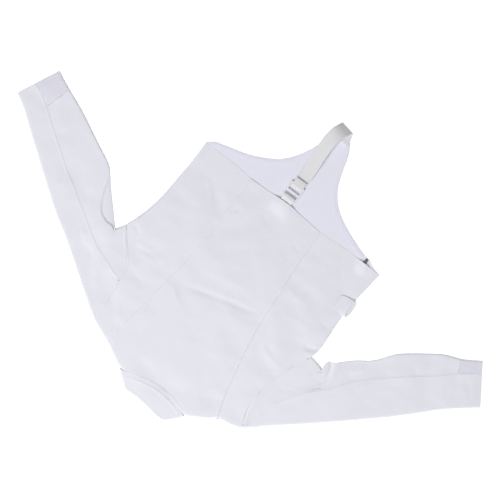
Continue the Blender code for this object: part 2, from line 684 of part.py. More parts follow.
def front_zip_side(surface):
    """The strip of the front between the zip and the left side seam."""
    columns = np.concatenate((ROLL_STEPS / ZIP_SIDE_WIDTH, ZIP_SIDE_COLUMNS))
    shoulder_end = ZIP_SIDE_COLUMNS[-2]
    bottom = smooth_curve(LEG_SIDE_LEFT)(columns)
    shoulder = SHOULDER_LEFT_OUTER + SHOULDER_LEFT_INNER[1:]
    top = chained((shoulder, NECK_FRONT_ZIP_SIDE), (shoulder_end,), columns)
    left = side_edge(SIDE_LEFT, ARMHOLE_LEFT)
    right = zip_edge(-ZIP_WIDTH / 2)
    on_shoulder = columns <= shoulder_end + TINY
    return front_panel("front_zip_side", bottom, top, left, right, columns, 0, on_shoulder, set(), surface)


def zip_tape(surface):
    """The closed zip: both tapes as one strip between the fronts, which ends short of the collar."""
    half = ZIP_WIDTH / 2 - SEAM_GAP / 2
    plan = np.stack([zip_edge(offset) for offset in (-half, 0.0, half)], axis=1)[:-1]
    outer = np.concatenate((plan, np.zeros((*plan.shape[:2], 1))), axis=-1)
    return wall("zip", outer, outer + (0, 0, ZIP_THICKNESS), surface)


def zip_slider(surface):
    """The slider's body, a block with soft edges that narrows to the hem."""
    width, length, height = SLIDER_SIZE
    x, y = SLIDER_CENTRE
    bm = bmesh.new()
    bmesh.ops.create_cube(bm, size=1)
    for vert in bm.verts:
        narrowed = width - (SLIDER_NOSE if vert.co.y < 0 else 0.0)
        place = (x, y, CLOTH + SEAM_GAP + height / 2)
        size = (narrowed, length, height)
        vert.co = [(start + share * side) * MM for start, share, side in zip(place, vert.co, size)]
    bmesh.ops.bevel(bm, geom=bm.edges, offset=SLIDER_EDGE * MM, segments=2, profile=0.5, affect="EDGES")
    return placed("zip_slider", bm, surface)


def sleeve_stations(first_row):
    """Shares of a sleeve's length, with the band at the armhole and the rib's start among them."""
    band = np.array(ARMHOLE_ROWS) / SLEEVE_LENGTH
    return np.concatenate((band, np.linspace(first_row, RIB_SHARE, SLEEVE_ROWS), CUFF_ROWS))


def sleeve_plan(outer, inner, armhole, rows):
    """The four edges of a sleeve's plan: its outer edge, the cuff, its inner edge and the armhole."""
    on_armhole = (rows[rows >= CORNER_SHARE - TINY] - CORNER_SHARE) / (1 - CORNER_SHARE)
    start = along(smooth_curve(armhole)(on_armhole)[::-1])
    end = along(np.array((outer[-1], inner[-1])))
    return smooth_curve(outer), end, smooth_curve(inner), start


def seam_shares(edges, seam, stations, is_right):
    """How far in from the outer edge the back seam runs at each station, as a share of the width."""
    line = smooth_curve(seam)(np.linspace(0, 1, SEAM_SAMPLES))
    inward = sideways(np.gradient(line, axis=0)) * (-1 if is_right else 1)
    across = np.linspace(0, 1, ACROSS_SAMPLES)
    found = []
    for station in stations:
        points = filled(edges, np.full(across.shape, station), across)
        nearest = np.linalg.norm(points[:, None] - line, axis=-1).argmin(axis=1)
        beyond = ((points - line[nearest]) * inward[nearest]).sum(axis=-1)
        found.append(np.interp(0.0, beyond, across))
    return np.maximum(found, LEAST_SEAM_SHARE)


def sleeve_height(points, stations):
    """The height of a sleeve's upper side, with the ridge along its armhole seam and its folds."""
    fall = soft_step((stations - (1 - CUFF_FALL)) / CUFF_FALL)
    from_armhole = stations * SLEEVE_LENGTH
    ridge = ARMHOLE_RIDGE * ((from_armhole > 1) & (from_armhole < ARMHOLE_BAND + 1))
    return BACK_TOP + (CUFF_TOP - BACK_TOP) * fall + ridge + fold_height(points, SLEEVE_FOLDS)


def sleeve_columns(widths, seam, seam_gaps, ledge, is_outer):
    """How far in from their edge the columns of a sleeve piece stand, above and below."""
    above, below = [], []
    for width, seam_share, gap, ledge_width in zip(widths, seam, seam_gaps, ledge):
        own_share = seam_share if is_outer else 1 - seam_share
        own_under = UNDER_SEAM_SHARE if is_outer else 1 - UNDER_SEAM_SHARE
        seam_at = own_share * width - gap
        under_at = own_under * width - SEAM_GAP / 2
        if is_outer:
            middle = np.linspace(ROLL, seam_at, SLEEVE_COLUMNS + 1)[1:]
        else:
            step_at = max(ledge_width, LEAST_LEDGE)
            after = np.linspace(step_at + LEDGE_EDGE / 2, seam_at, SLEEVE_COLUMNS)
            middle = np.concatenate(((step_at - LEDGE_EDGE / 2,), after))
        above.append(np.concatenate((ROLL_STEPS, middle)))
        below.append(np.concatenate(((under_at, (under_at + ROLL) / 2), ROLL_STEPS[:0:-1])))
    return np.array(above), np.array(below)


def sleeve_piece(name, is_right, is_outer, stations, surface):
    """A piece of a sleeve: it wraps round its edge, from the front seam below to the back seam above."""
    outer = SLEEVE_RIGHT_OUTER if is_right else SLEEVE_LEFT_OUTER
    inner = SLEEVE_RIGHT_INNER if is_right else SLEEVE_LEFT_INNER
    armhole = ARMHOLE_RIGHT if is_right else ARMHOLE_LEFT
    upper_edges = sleeve_plan(outer, inner, armhole, back_rows())
    lower_edges = sleeve_plan(outer, inner, armhole, front_rows())
    widths = np.linalg.norm(upper_edges[2](stations) - upper_edges[0](stations), axis=1)
    seam = seam_shares(upper_edges, SEAM_RIGHT if is_right else SEAM_LEFT, stations, is_right)
    ledge = from_table(LEDGE_RIGHT, stations) * is_right
    slant = np.gradient(seam * widths, stations * SLEEVE_LENGTH)
    above, below = sleeve_columns(widths, seam, SEAM_GAP / 2 * np.hypot(1, slant), ledge, is_outer)

    def half(edges, inset, height_at, thickness, turned):
        across = inset / widths[:, None] if is_outer else 1 - inset / widths[:, None]
        plan = filled(edges, np.broadcast_to(stations[:, None], inset.shape), across)
        turns = np.zeros((2, *inset.shape))
        turns[0] = turned
        ends = (1 if inset[0, -1] > inset[0, 0] else -1, 1)
        return two_sides(plan, turns, ends, height_at, lambda points: SEAM_HEIGHT, thickness)

    def height_above(points):
        height = sleeve_height(points, stations[:, None])
        near_seam = np.exp(-(((above[:, -1:] - above) / LAP_WIDTH) ** 2))
        height += (LAP_RISE / 2 if is_outer else -LAP_RISE / 2) * near_seam
        height -= LEDGE_DROP * soft_step((ledge[:, None] - above) / LEDGE_EDGE + 0.5)
        return np.maximum(height, LEAST_HEIGHT)

    turned_above = np.zeros(above.shape[1])
    turned_above[:4] = ROLL_TURNS
    turned_below = np.zeros(below.shape[1])
    turned_below[-3:] = ROLL_TURNS[:0:-1]
    over = half(upper_edges, above, height_above, -CLOTH, turned_above)
    under = half(lower_edges, below, lambda points: 0.0, CLOTH, turned_below)
    return wall(name, *(np.concatenate(sides, axis=1) for sides in zip(under, over)), surface)


def sleeve(is_right, cloth, rib):
    """A sleeve: an outer and an inner piece, and the rib inset at the cuff of the inner one."""
    word = "right" if is_right else "left"
    stations = sleeve_stations(FIRST_ROW_RIGHT if is_right else FIRST_ROW_LEFT)
    step = SEAM_GAP / 2 / SLEEVE_LENGTH
    to_rib = stations[stations <= RIB_SHARE + TINY]
    from_rib = stations[stations >= RIB_SHARE - TINY]
    to_rib[-1] -= step
    from_rib[0] += step
    sleeve_piece(f"sleeve_{word}_outer", is_right, True, stations, cloth)
    sleeve_piece(f"sleeve_{word}_inner", is_right, False, to_rib, cloth)
    sleeve_piece(f"cuff_rib_{word}", is_right, False, from_rib, rib)


def ribbon(name, middle, thickness, surface):
    """A flat band whose middle surface runs through rows of points."""
    normals = np.cross(np.gradient(middle, axis=1), np.gradient(middle, axis=0))
    offset = normals / np.linalg.norm(normals, axis=-1)[..., None] * thickness / 2
    return wall(name, middle + offset, middle - offset, surface)


def crotch_strap(surface):
    """The elastic strap: round the slide's last bar, out past the tongue's tip, and back to its seat."""
    rows = []
    shares = np.linspace(-1, 1, STRAP_COLUMNS)[:, None]
    for x, y, height, width, turn in STRAP_STATIONS:
        across = np.array((np.cos(np.radians(turn)), np.sin(np.radians(turn)), 0.0)) * width / 2
        rows.append(np.array((x, y, height)) + shares * across)
    return ribbon("crotch_strap", np.array(rows), STRAP_THICKNESS, surface)


def strap_tab(surface):
    """The webbing tab that holds the slide at the back hem."""
    x = SLIDE_CENTRE[0]
    rows = [[(x + share * TAB_WIDTH / 2, y, height) for share in (-1, 0, 1)] for y, height in TAB_PATH]
    return ribbon("strap_tab", np.array(rows), TAB_THICKNESS, surface)


def block(centre, size):
    """A box with its scale applied, at its centre."""
    bm = bmesh.new()
    bmesh.ops.create_cube(bm, size=1)
    for vert in bm.verts:
        vert.co = [share * side * MM for share, side in zip(vert.co, size)]
    upright = [edge for edge in bm.edges if abs(edge.verts[0].co.z - edge.verts[1].co.z) > MM]
    return bm, upright, [place * MM for place in centre]


def strap_slide(surface):
    """The plastic slide: a plate with round corners and two slots, which leaves three bars."""
    x, y = SLIDE_CENTRE
    middle = SLIDE_UNDERSIDE + SLIDE_SIZE[2] / 2
    bm, upright, centre = block((x, y, middle), SLIDE_SIZE)
    bmesh.ops.bevel(bm, geom=upright, offset=SLIDE_CORNER * MM, segments=4, profile=0.5, affect="EDGES")
    slide = placed("strap_slide", bm, surface)
    slide.location = centre
    for index, (slot_y, slot_length) in enumerate(SLIDE_SLOTS):
        slot_size = (SLIDE_SLOT_WIDTH, slot_length, 3 * SLIDE_SIZE[2])
        bm, _, centre = block((x, slot_y, middle), slot_size)
        cutter = placed(f"slot_{index}", bm, surface)
        cutter.location = centre
        cutter.hide_render = True
        cutter.display_type = "WIRE"
        cut = slide.modifiers.new(f"slot {index}", "BOOLEAN")
        cut.object = cutter
        cut.solver = "EXACT"
    soft = slide.modifiers.new("edges", "BEVEL")
    soft.width = SLIDE_EDGE * MM
    soft.segments = 2
    soft.limit_method = "ANGLE"
    return slide


def side_loop(surface):
    """A flat tube of cloth on the left side seam, with its mouth to the side."""
    bm = bmesh.new()
    angles = np.linspace(0, 2 * np.pi, LOOP_SIDES, endpoint=False)
    rings = {0.0: [], LOOP_CLOTH: []}
    for index, (x, middle, half_length, half_height) in enumerate(LOOP_STATIONS):
        lip = LOOP_LIP * (index == len(LOOP_STATIONS) - 1)
        for inset, made in rings.items():
            points = [
                (
                    x + lip * np.sin(angle),
                    LOOP_MIDDLE + (half_length - inset) * np.cos(angle),
                    middle + (half_height - inset) * np.sin(angle),
                )
                for angle in angles
            ]
            made.append([bm.verts.new([place * MM for place in point]) for point in points])
    loops = rings[0.0] + rings[LOOP_CLOTH][::-1]
    for first, second in zip(loops, loops[1:] + loops[:1]):
        for side in range(LOOP_SIDES):
            bm.faces.new((first[side - 1], first[side], second[side], second[side - 1]))
    return placed("side_loop", bm, surface)


def main():
    for thing in list(bpy.data.objects):
        bpy.data.objects.remove(thing)
    cloth = material("jacket cloth", JACKET_WHITE, 0.85)
    lining = material("front cloth", LINING_WHITE, 0.8)
    rib = material("rib knit", RIB_WHITE, 0.9)
    elastic = material("elastic", STRAP_WHITE, 0.55)
    plastic = material("slide plastic", SLIDE_WHITE, 0.35)
    metal = material("slider metal", SLIDER_METAL, 0.35, 1.0)
    back_centre(cloth)
    left_edges = (HEM_LEFT, PRINCESS_LEFT, SIDE_LEFT, ARMHOLE_LEFT, SHOULDER_LEFT_OUTER)
    right_edges = (HEM_RIGHT, PRINCESS_RIGHT, SIDE_RIGHT, ARMHOLE_RIGHT, SHOULDER_RIGHT_OUTER)
    back_side("back_side_left", *left_edges, False, cloth)
    back_side("back_side_right", *right_edges, True, cloth)
    collar_half("collar_back", back_neck(), True, cloth)
    collar_half("collar_front", front_neck(), False, cloth)
    front_main(lining)
    front_zip_side(lining)
    zip_tape(lining)
    zip_slider(metal)
    for is_right in (True, False):
        sleeve(is_right, cloth, rib)
    crotch_strap(elastic)
    strap_tab(elastic)
    strap_slide(plastic)
    side_loop(cloth)


main()
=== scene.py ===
"""Dresses the fencing jacket, laid flat with its back up: cloth, seams, strap, slide, loop and zip.

Lengths in the tables are millimetres in the jacket's frame: +X to the wearer's right, +Y to the collar and
+Z up.
"""

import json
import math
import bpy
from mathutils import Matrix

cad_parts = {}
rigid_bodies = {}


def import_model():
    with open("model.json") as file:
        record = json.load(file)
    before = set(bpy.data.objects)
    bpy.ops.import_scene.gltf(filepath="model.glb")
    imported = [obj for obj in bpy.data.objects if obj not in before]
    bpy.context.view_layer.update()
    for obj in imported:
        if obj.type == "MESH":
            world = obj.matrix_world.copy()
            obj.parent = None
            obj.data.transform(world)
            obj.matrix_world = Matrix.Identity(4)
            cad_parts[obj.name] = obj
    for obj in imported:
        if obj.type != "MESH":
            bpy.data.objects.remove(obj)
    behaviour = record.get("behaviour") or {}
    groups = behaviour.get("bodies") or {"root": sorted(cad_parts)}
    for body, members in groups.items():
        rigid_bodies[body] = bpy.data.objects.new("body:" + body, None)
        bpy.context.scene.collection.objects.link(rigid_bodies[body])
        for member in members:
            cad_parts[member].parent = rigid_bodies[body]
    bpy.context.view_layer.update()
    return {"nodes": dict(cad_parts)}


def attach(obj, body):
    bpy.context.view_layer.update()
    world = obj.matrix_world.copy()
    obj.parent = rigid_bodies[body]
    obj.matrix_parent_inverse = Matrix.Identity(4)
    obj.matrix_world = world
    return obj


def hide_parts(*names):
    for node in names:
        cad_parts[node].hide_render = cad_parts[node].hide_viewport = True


bl_info = {
    "name": "Fencing jacket, laid flat",
    "version": (1, 0, 0),
    "blender": (4, 5, 0),
    "location": "3D View > Sidebar > Jacket",
    "description": "Makes the cloth, stitching, strap and stage of a fencing jacket laid flat",
    "category": "Object",
}

import bmesh
import bpy
import numpy as np
from bpy.props import FloatProperty, FloatVectorProperty, IntProperty, PointerProperty
from mathutils import Matrix, Vector
from mathutils.bvhtree import BVHTree

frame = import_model()
MM = 0.001

# The materials by name
LOOKS = {}

# How many steps a smooth curve takes from point to point
CURVE_STEPS = 12

# The faint unevenness of laid cloth: columns wave length, height; then the waves of each and their bend
RIPPLES = ((110, 0.22), (70, 0.12), (44, 0.06), (29, 0.03))
RIPPLE_WAVES = 3
RIPPLE_BEND = 1.4
RIPPLE_WANDER = 2.3
RIPPLE_SEED = 11

# How a node's triangles are joined before it is subdivided, and which edges stay creased
MERGE_WITHIN = 0.02
JOIN_FACES = math.radians(40)
JOIN_SHAPES = math.radians(75)
CREASE_OVER = math.radians(48)
CREASE = 0.75

# How the cloth's height is felt: the height to start from, and how far round each point
FEEL_FROM = 80.0
FEEL_ROUND = 0.6

# Stitches: half their width and height, their lift, the reach that gives their direction, the row's step
STITCH_HALF = (0.28, 0.2)
STITCH_LIFT = 0.06
STITCH_REACH = 1.0
ROW_STEP = 5

# Which faces of a sleeve's solid stand upright at its seam
UPRIGHT_UNDER = 0.25
ENDWISE_OVER = 0.75

# Woven bands: columns across, rows along the strap and the tab, their soft edges, the pitch of their weave
BAND_COLUMNS = 7
STRAP_ROWS = 110
TAB_ROWS = 50
SOFT_EDGE = 0.3
ELASTIC_PITCH = 1.3

# How often the loop and the zip's tapes are subdivided
SMALL_FINENESS = 2

# Cloth: how its weave is turned on the sleeves, the lining's finer weave, heights in mm, scales per metre
RIGHT_TURN = math.radians(34)
LEFT_TURN = math.radians(-39)
LINING_FINER = 0.8
WEAVE_HEIGHT = 0.035
SLUB_HEIGHT = 0.05
CRUMPLE_HEIGHT = 0.15
SLUB_SCALES = (900.0, 120.0, 300.0)
CRUMPLE_SCALE = 45.0
TINT_SCALE = 14.0
CLOTH_DARKER = 0.97

# Rib knit: heights in mm, the pitch of its loops as a share of a rib, their sway, and the painted shade
# that darkens the grooves between the ribs
RIB_HEIGHT = 0.28
KNIT_LOOP_HEIGHT = 0.06
KNIT_LOOP_SHARE = 0.5
KNIT_LOOP_SWAY = 1.5
RIB_GROOVE_SHADE = 0.93

# Elastic: heights in mm, the pitch of its cords in ribs, and the painted shade that darkens its grooves
ELASTIC_RIB_HEIGHT = 0.06
ELASTIC_CORD_HEIGHT = 0.05
ELASTIC_CORD_PITCH = 2.4
ELASTIC_GROOVE_SHADE = 0.93

# Plastic, thread and metal: the height of their grain in mm, the scale of their tint
GRAIN_HEIGHT = 0.03
GRAIN_TINT_SCALE = 90.0
GRAIN_DARKER = 0.95

# The zip's teeth: pitch, half sizes, distance from the middle, height
TOOTH_PITCH = 2.4
TOOTH_SIZE = (0.55, 1.3, 0.3)
TOOTH_ASIDE = 0.9
TOOTH_HEIGHT = 0.25

# The stage, in metres: columns name, place, size and power of the lights; then what they face
LIGHTS = (("key", (0.5, 5.5, 5.0), 2.5, 420), ("top", (0.0, 0.1, 4.2), 3.0, 34))
AIM = (0.0, 0.13, 0.0)
FLOOR_SIZE = 14
FLOOR_DEPTH = 0.0003
FLOOR_GLOW = 0.7
FLOOR_COLOUR = (0.9, 0.9, 0.9, 1)
WHITE = (1, 1, 1, 1)
WORLD_STRENGTH = 0.28
CAMERA_PLACE = (0.023, 0.135, 3.194)
CAMERA_TURN = math.radians(216.87)
CAMERA_LENS = 100

# Seams of the body, upward or from the wearer's left to right: columns x, y
PRINCESS_LEFT = (
    (-82, 6), (-84, 60), (-85, 112), (-91, 171), (-96, 240), (-101, 289), (-116, 368), (-134, 449),
    (-149, 485),
)
PRINCESS_RIGHT = (
    (120, 2), (118, 50), (122, 120), (121, 190), (131, 289), (139, 345), (146, 405), (154, 451),
    (155, 498),
)
ARMHOLE_LEFT = (
    (-236.5, 250.5), (-232, 258), (-222, 274), (-211, 296), (-200, 344), (-191, 366), (-189, 400),
    (-192, 440), (-204, 468),
)
ARMHOLE_RIGHT = (
    (281, 263), (264, 287), (243, 311), (227, 334), (220, 365), (216, 407), (215, 440), (219, 468),
)
NECK = ((-80, 529), (-67, 522), (-35, 514), (-1, 511), (32, 516), (59, 523), (81, 529), (95, 531))
HEM = (
    (-246, 3), (-215, 2), (-152, 1), (-106, 4), (-82, 6), (-28, 1), (8, -2), (45, -1), (80, 1), (120, 2),
    (157, -1), (191, -3), (228, -2), (249, -3),
)
COLLAR_EDGE = (
    (-69, 545), (-56, 560), (-46, 567), (-19, 565), (6, 561), (32, 559), (61, 561), (80, 547),
)
LEG_LEFT = (
    (-199, -14), (-179, -18), (-153, -28), (-129, -37), (-105, -49), (-85, -61), (-69, -75), (-54, -96),
    (-44, -121), (-37, -150), (-27, -180), (-15, -199),
)
LEG_RIGHT = (
    (24, -199), (36, -172), (47, -143), (55, -121), (71, -98), (86, -79), (102, -66), (123, -55),
    (152, -41), (181, -32), (214, -24), (237, -17), (250, -6),
)
ZIP_LINE = ((-206, -12), (-196, 80), (-180, 180), (-155, 300), (-120, 410), (-80, 485), (-63, 507))

# The profiles of felled seams, across them: columns distance to the left of the seam, lift over the cloth
LAPPED_SEAM = (
    (3.4, -0.15), (2.4, 0.05), (1.4, 0.3), (0.5, 0.12), (-0.6, 0.12), (-1.6, 0.05), (-8.5, 0.0),
    (-10.5, -0.12),
)
DOUBLE_SEAM = (
    (-3.2, -0.15), (-2.2, 0.05), (-1.2, 0.35), (-0.3, 0.15), (0.5, 0.15), (1.5, 0.02), (6.9, 0.01),
    (7.8, 0.1), (8.8, 0.1), (10.2, -0.15),
)
RIDGED_SEAM = (
    (-5.2, -0.15), (-4.0, 0.02), (-1.1, 0.03), (0.0, 0.18), (1.1, 0.03), (4.0, 0.02), (5.2, -0.15),
)
STEPPED_SEAM = (
    (-5.2, -0.15), (-4.0, 0.02), (-1.5, 0.15), (-0.4, 0.2), (0.5, 0.0), (4.0, 0.02), (5.2, -0.15),
)
FACING_SEAM = (
    (0.8, -0.15), (1.6, 0.03), (6.0, 0.03), (6.8, 0.18), (7.6, 0.03), (10.6, 0.03), (11.4, 0.18),
    (12.4, -0.15),
)

# Rows of stitches: columns curve, distance to the left of it
BACK_ROWS = (
    (PRINCESS_LEFT, -1.0), (PRINCESS_LEFT, -9.0), (PRINCESS_RIGHT, 1.0), (PRINCESS_RIGHT, 9.0),
    (HEM, 9.0), (NECK, 1.2), (NECK, 8.0), (COLLAR_EDGE, -3.0),
)
ARMHOLE_ROWS = (
    (ARMHOLE_LEFT, 1.2), (ARMHOLE_LEFT, 8.0), (ARMHOLE_RIGHT, -1.2), (ARMHOLE_RIGHT, -8.0),
)
FACING_ROWS = ((LEG_LEFT, 10.5), (LEG_RIGHT, 10.5), (LEG_LEFT, 2.5), (LEG_RIGHT, 2.5))

# Finer folds of the back's centre, sides and sleeves: columns start, middle, end, half width, height
FINE_FOLDS = (
    ((104, 282), (8, 254), (-92, 229), 8, 0.5),
    ((94, 292), (12, 266), (-84, 242), 7, -0.6),
    ((92, 301), (12, 276), (-80, 252), 7, 0.35),
    ((-281, 229), (-294, 256), (-288, 288), 4, -2.2),
    ((-292, 226), (-304, 256), (-297, 290), 7, 1.0),
    ((-210, 236), (-228, 232), (-243, 220), 5, -1.0),
    ((-212, 246), (-228, 244), (-238, 234), 5, 0.6),
    ((82, 228), (20, 222), (-40, 205), 9, 0.4),
    ((115, 95), (104, 83), (93, 71), 6, -0.7),
    ((118, 104), (106, 92), (96, 82), 6, 0.4),
    ((-49, 61), (-60, 68), (-72, 73), 6, -0.6),
    ((203, 340), (190, 341), (178, 340), 5, -0.4),
    ((270, 244), (260, 252), (248, 260), 6, -0.8),
    ((244, 276), (222, 274), (200, 268), 7, 0.6),
    ((232, 292), (204, 290), (172, 288), 7, 0.6),
    ((196, 278), (178, 276), (158, 274), 6, 0.3),
    ((120, 304), (98, 320), (70, 332), 7, 0.5),
    ((196, 404), (178, 430), (158, 452), 8, 0.5),
    ((-134, 280), (-146, 288), (-158, 294), 6, -0.5),
    ((-126, 284), (-160, 305), (-196, 308), 8, 0.5),
    ((-208, 174), (-220, 172), (-232, 171), 6, -0.5),
    ((-100, 152), (-140, 158), (-178, 152), 8, 0.5),
    ((-128, 206), (-162, 202), (-200, 198), 7, 0.4),
    ((204, 52), (176, 84), (144, 116), 8, 0.6),
    ((-20, 110), (-38, 107), (-54, 103), 6, 0.3),
    ((40, 470), (10, 474), (-24, 470), 9, -0.4),
    ((-60, 400), (-30, 396), (10, 402), 12, -0.35),
    ((60, 380), (40, 350), (34, 320), 12, -0.35),
    ((-30, 180), (0, 160), (26, 150), 12, -0.4),
    ((60, 40), (40, 70), (30, 96), 10, 0.35),
    ((-218, 349), (-236, 342), (-255, 331), 6, -0.6),
    ((-296, 218), (-302, 219), (-308, 220), 6, -0.5),
    ((-561, 74), (-574, 92), (-587, 109), 6, -0.6),
    ((-540, 74), (-552, 92), (-566, 108), 6, 0.4),
    ((-300, 296), (-306, 270), (-302, 246), 7, 0.7),
    ((-330, 224), (-342, 208), (-354, 196), 7, 0.6),
    ((-362, 250), (-384, 214), (-398, 176), 8, 0.5),
    ((-440, 120), (-455, 138), (-468, 156), 8, -0.5),
    ((-250, 400), (-262, 372), (-282, 350), 9, -0.5),
    ((300, 390), (312, 352), (306, 318), 9, -0.6),
    ((352, 330), (350, 300), (340, 276), 9, -0.5),
    ((386, 300), (390, 262), (384, 226), 10, -0.5),
    ((470, 250), (462, 222), (450, 196), 8, -0.5),
    ((540, 210), (530, 184), (514, 160), 8, -0.6),
    ((600, 184), (590, 160), (578, 144), 6, 0.4),
    ((264, 420), (268, 390), (262, 362), 7, 0.5),
)

# Above this height an upright face belongs to the upper side of a sleeve's solid
EDGE_OVER = 3.75

# The lower body, pressed flat: its heights as made and as pressed, where it lies over the tab and the
# slider, and how far a fold may sink
BACK_TOP = 7.0
HEM_TOP = 5.4
HEM_UNDER = 3.4
HEM_FALL = 55.0
HEM_PRESSED = 2.35
PRESS_REACH = 220.0
PRESS_THIN = 0.15
PRESS_GAP = 0.05
FRONT_TOP = 2.0
FULL_DROP = 2.0
ROLL_THIN = 0.3
HEM_OVER = ((25.0, 24.0), (-206.0, 13.0))
OVER_REACH = 40.0
DEEPEST = -2.2

# The underarm notches, which stay sharp
NOTCHES = ((-278, 256), (300, 280))
NOTCH_REACH = 12.0

# The lens of lower cloth at the right underarm
LENS_EDGE = ((300, 280), (320, 259), (346, 231), (372, 203), (386, 185))
LENS_FOLD = ((300, 281), (324, 282), (346, 274), (362, 255), (373, 231), (380, 208), (386, 186))
LENS_SAMPLES = 80
LENS_STEP = 5.0
LENS_LOW = 2.1
LENS_TOP = 5.0
LENS_CLOTH = 0.25

# Felled seams: thickness, how far the ground may stray from the usual height of its row, the step from
# row to row, the length left off at each end, and how far the ends sink in
BAND_THICKNESS = 0.5
BAND_STRAY = 0.8
BAND_STEP = 2.5
BAND_TRIM = 4.0
BAND_SINK = 0.45

# The raised bands of cloth beside the neck and the armholes: the seam and how far the band is lowered
SETTLED = {
    "collar_back": (NECK, 0.8),
    "sleeve_left_outer": (ARMHOLE_LEFT, 0.5),
    "sleeve_left_inner": (ARMHOLE_LEFT, 0.5),
    "sleeve_right_outer": (ARMHOLE_RIGHT, 0.5),
    "sleeve_right_inner": (ARMHOLE_RIGHT, 0.5),
}
SETTLE_SAMPLES = 80
SETTLE_WIDTH = 11.0
SETTLE_FADE = 3.0

# How many samples a finer fold takes in its half width, and how it fades
FOLD_SAMPLES = 2
FOLD_FADE = 0.6

# Where the upper side of a piece starts, above the rolls
UPPER_FROM = 3.6
UPPER_OVER = 2.0

# The left sleeve at its back seam: columns share of the seam's length, lift
SEAM_BULGE = ((0.0, 0.5), (0.1, 0.9), (0.45, 0.9), (0.55, 0.25), (1.0, 0.2))
BULGE_REACH = {"sleeve_left_outer": 60.0, "sleeve_left_inner": 9.0}
BULGE_SAMPLES = 120
LEFT_AHEAD = (-0.75, -0.66)
RIGHT_AHEAD = (0.8, -0.6)

# Sideways nudges at the left underarm: columns x, y, x and y of the nudge, reach
UNDERARM_NUDGES = ((-282, 243, 6, -9, 13), (-274, 257, -4, 2, 8))

# Folds of the tongue's upper side, below the back hem: columns start, middle, end, half width, height
TONGUE_OVER = 1.5
TONGUE_FROM = -7.0
TONGUE_FOLDS = (
    ((58, -12), (68, -30), (70, -52), 5, 0.35),
    ((74, -12), (80, -28), (78, -46), 5, 0.3),
    ((94, -10), (98, -22), (96, -36), 5, 0.25),
    ((-38, -14), (-30, -40), (-24, -70), 7, 0.25),
    ((-10, -60), (-12, -90), (-8, -120), 8, 0.2),
)

# The side loop, sewn down at its inner end
LOOP_SEWN = -207.0
LOOP_RISE = 34.0
LOOP_GROUND = 6.9
LOOP_FLAT = 0.4

# The strap: columns x, y, height of its middle, width, turn of its width in degrees
STRAP_THICKNESS = 1.4
STRAP_STATIONS = (
    (23, -64, 8.6, 29.0, 0), (23, -56, 8.5, 29.0, 0), (23, -50.5, 8.15, 29.0, 0),
    (23, -45.5, 8.05, 29.0, 0), (23, -42.9, 7.1, 29.0, 0), (23, -42.3, 5.5, 29.0, 0),
    (23, -42.9, 4.0, 29.0, 0), (23, -45.5, 3.1, 29.0, 0), (23, -50.5, 3.1, 29.0, 0),
    (23, -57, 3.5, 29.5, -1), (22.5, -66, 4.6, 30.0, -2), (22, -82, 6.4, 31.0, -3),
    (23, -100, 9.0, 32.0, -5), (25, -122, 12.6, 33.0, -8), (26.5, -145, 16.6, 33.5, -12),
    (27, -168, 20.4, 34.0, -15), (25.5, -186, 22.8, 34.0, -17), (22.5, -199, 22.8, 34.0, -17),
    (19, -208, 20.4, 34.0, -16), (15.5, -215.5, 16.0, 34.0, -15), (13, -221, 11.4, 34.0, -13),
    (11, -223.5, 8.0, 34.0, -11), (9, -220, 5.4, 34.0, -8), (7, -211, 4.1, 34.0, -5),
    (5, -202, 3.65, 34.0, -2), (4.5, -190, 3.65, 34.0, 0),
)
TAB_THICKNESS = 1.2
TAB_WIDTH = 29.0
TAB_X = 23.5
TAB_PATH = (
    (14, 3.0), (3, 3.1), (-3, 4.0), (-8, 6.2), (-11.5, 7.7), (-15.5, 8.05), (-19.0, 7.6), (-20.3, 5.9),
    (-20.0, 4.0), (-17.8, 3.0), (-12.5, 2.95), (-9.0, 2.95),
)

# The cut pieces: columns node, look, slot, flat width and length in m, flat area in m2, what it rests on
BODY_CUTS = (
    ("back_centre", "cloth", "jacket_cloth", (0.31, 0.54), 0.128, "front_main_cloth"),
    ("back_side_left", "cloth", "jacket_cloth", (0.18, 0.50), 0.064, "front_zip_side_cloth"),
    ("back_side_right", "cloth", "jacket_cloth", (0.18, 0.52), 0.061, "front_main_cloth"),
    ("front_main", "lining", "front_cloth", (0.49, 0.74), 0.24, "floor"),
    ("front_zip_side", "lining", "front_cloth", (0.19, 0.56), 0.033, "floor"),
)
SLEEVE_CUTS = (
    ("sleeve_right_outer", "cloth_right", "jacket_cloth", (0.13, 0.56), 0.065, "floor"),
    ("sleeve_right_inner", "cloth_right", "jacket_cloth", (0.15, 0.50), 0.06, "floor"),
    ("sleeve_left_outer", "cloth_left", "jacket_cloth", (0.17, 0.56), 0.078, "floor"),
    ("sleeve_left_inner", "cloth_left", "jacket_cloth", (0.14, 0.50), 0.053, "floor"),
    ("cuff_rib_right", "rib_right", "rib_knit", (0.13, 0.06), 0.006, "floor"),
    ("cuff_rib_left", "rib_left", "rib_knit", (0.10, 0.06), 0.0045, "floor"),
)
COLLAR_CUTS = (
    ("collar_back", "cloth", "jacket_cloth", (0.20, 0.06), 0.0080, "collar_front_cloth"),
    ("collar_front", "cloth", "jacket_cloth", (0.22, 0.09), 0.0115, "floor"),
)


def smooth_curve(points):
    """The curve through the points, as a function of the share of its length."""
    points = np.array(points, float)
    controls = np.vstack((2 * points[0] - points[1], points, 2 * points[-1] - points[-2]))
    dense = [points[0]]
    for a, b, c, d in zip(controls, controls[1:], controls[2:], controls[3:]):
        for t in np.linspace(0, 1, CURVE_STEPS + 1)[1:]:
            square = (2 * a - 5 * b + 4 * c - d) * t**2
            cube = (3 * b - a - 3 * c + d) * t**3
            dense.append((2 * b + (c - a) * t + square + cube) / 2)
    dense = np.array(dense)
    lengths = np.linalg.norm(np.diff(dense, axis=0), axis=1)
    shares = np.concatenate(((0.0,), np.cumsum(lengths))) / lengths.sum()

    def at(share):
        return np.stack([np.interp(share, shares, column) for column in dense.T], axis=-1)

    at.length = lengths.sum()
    return at


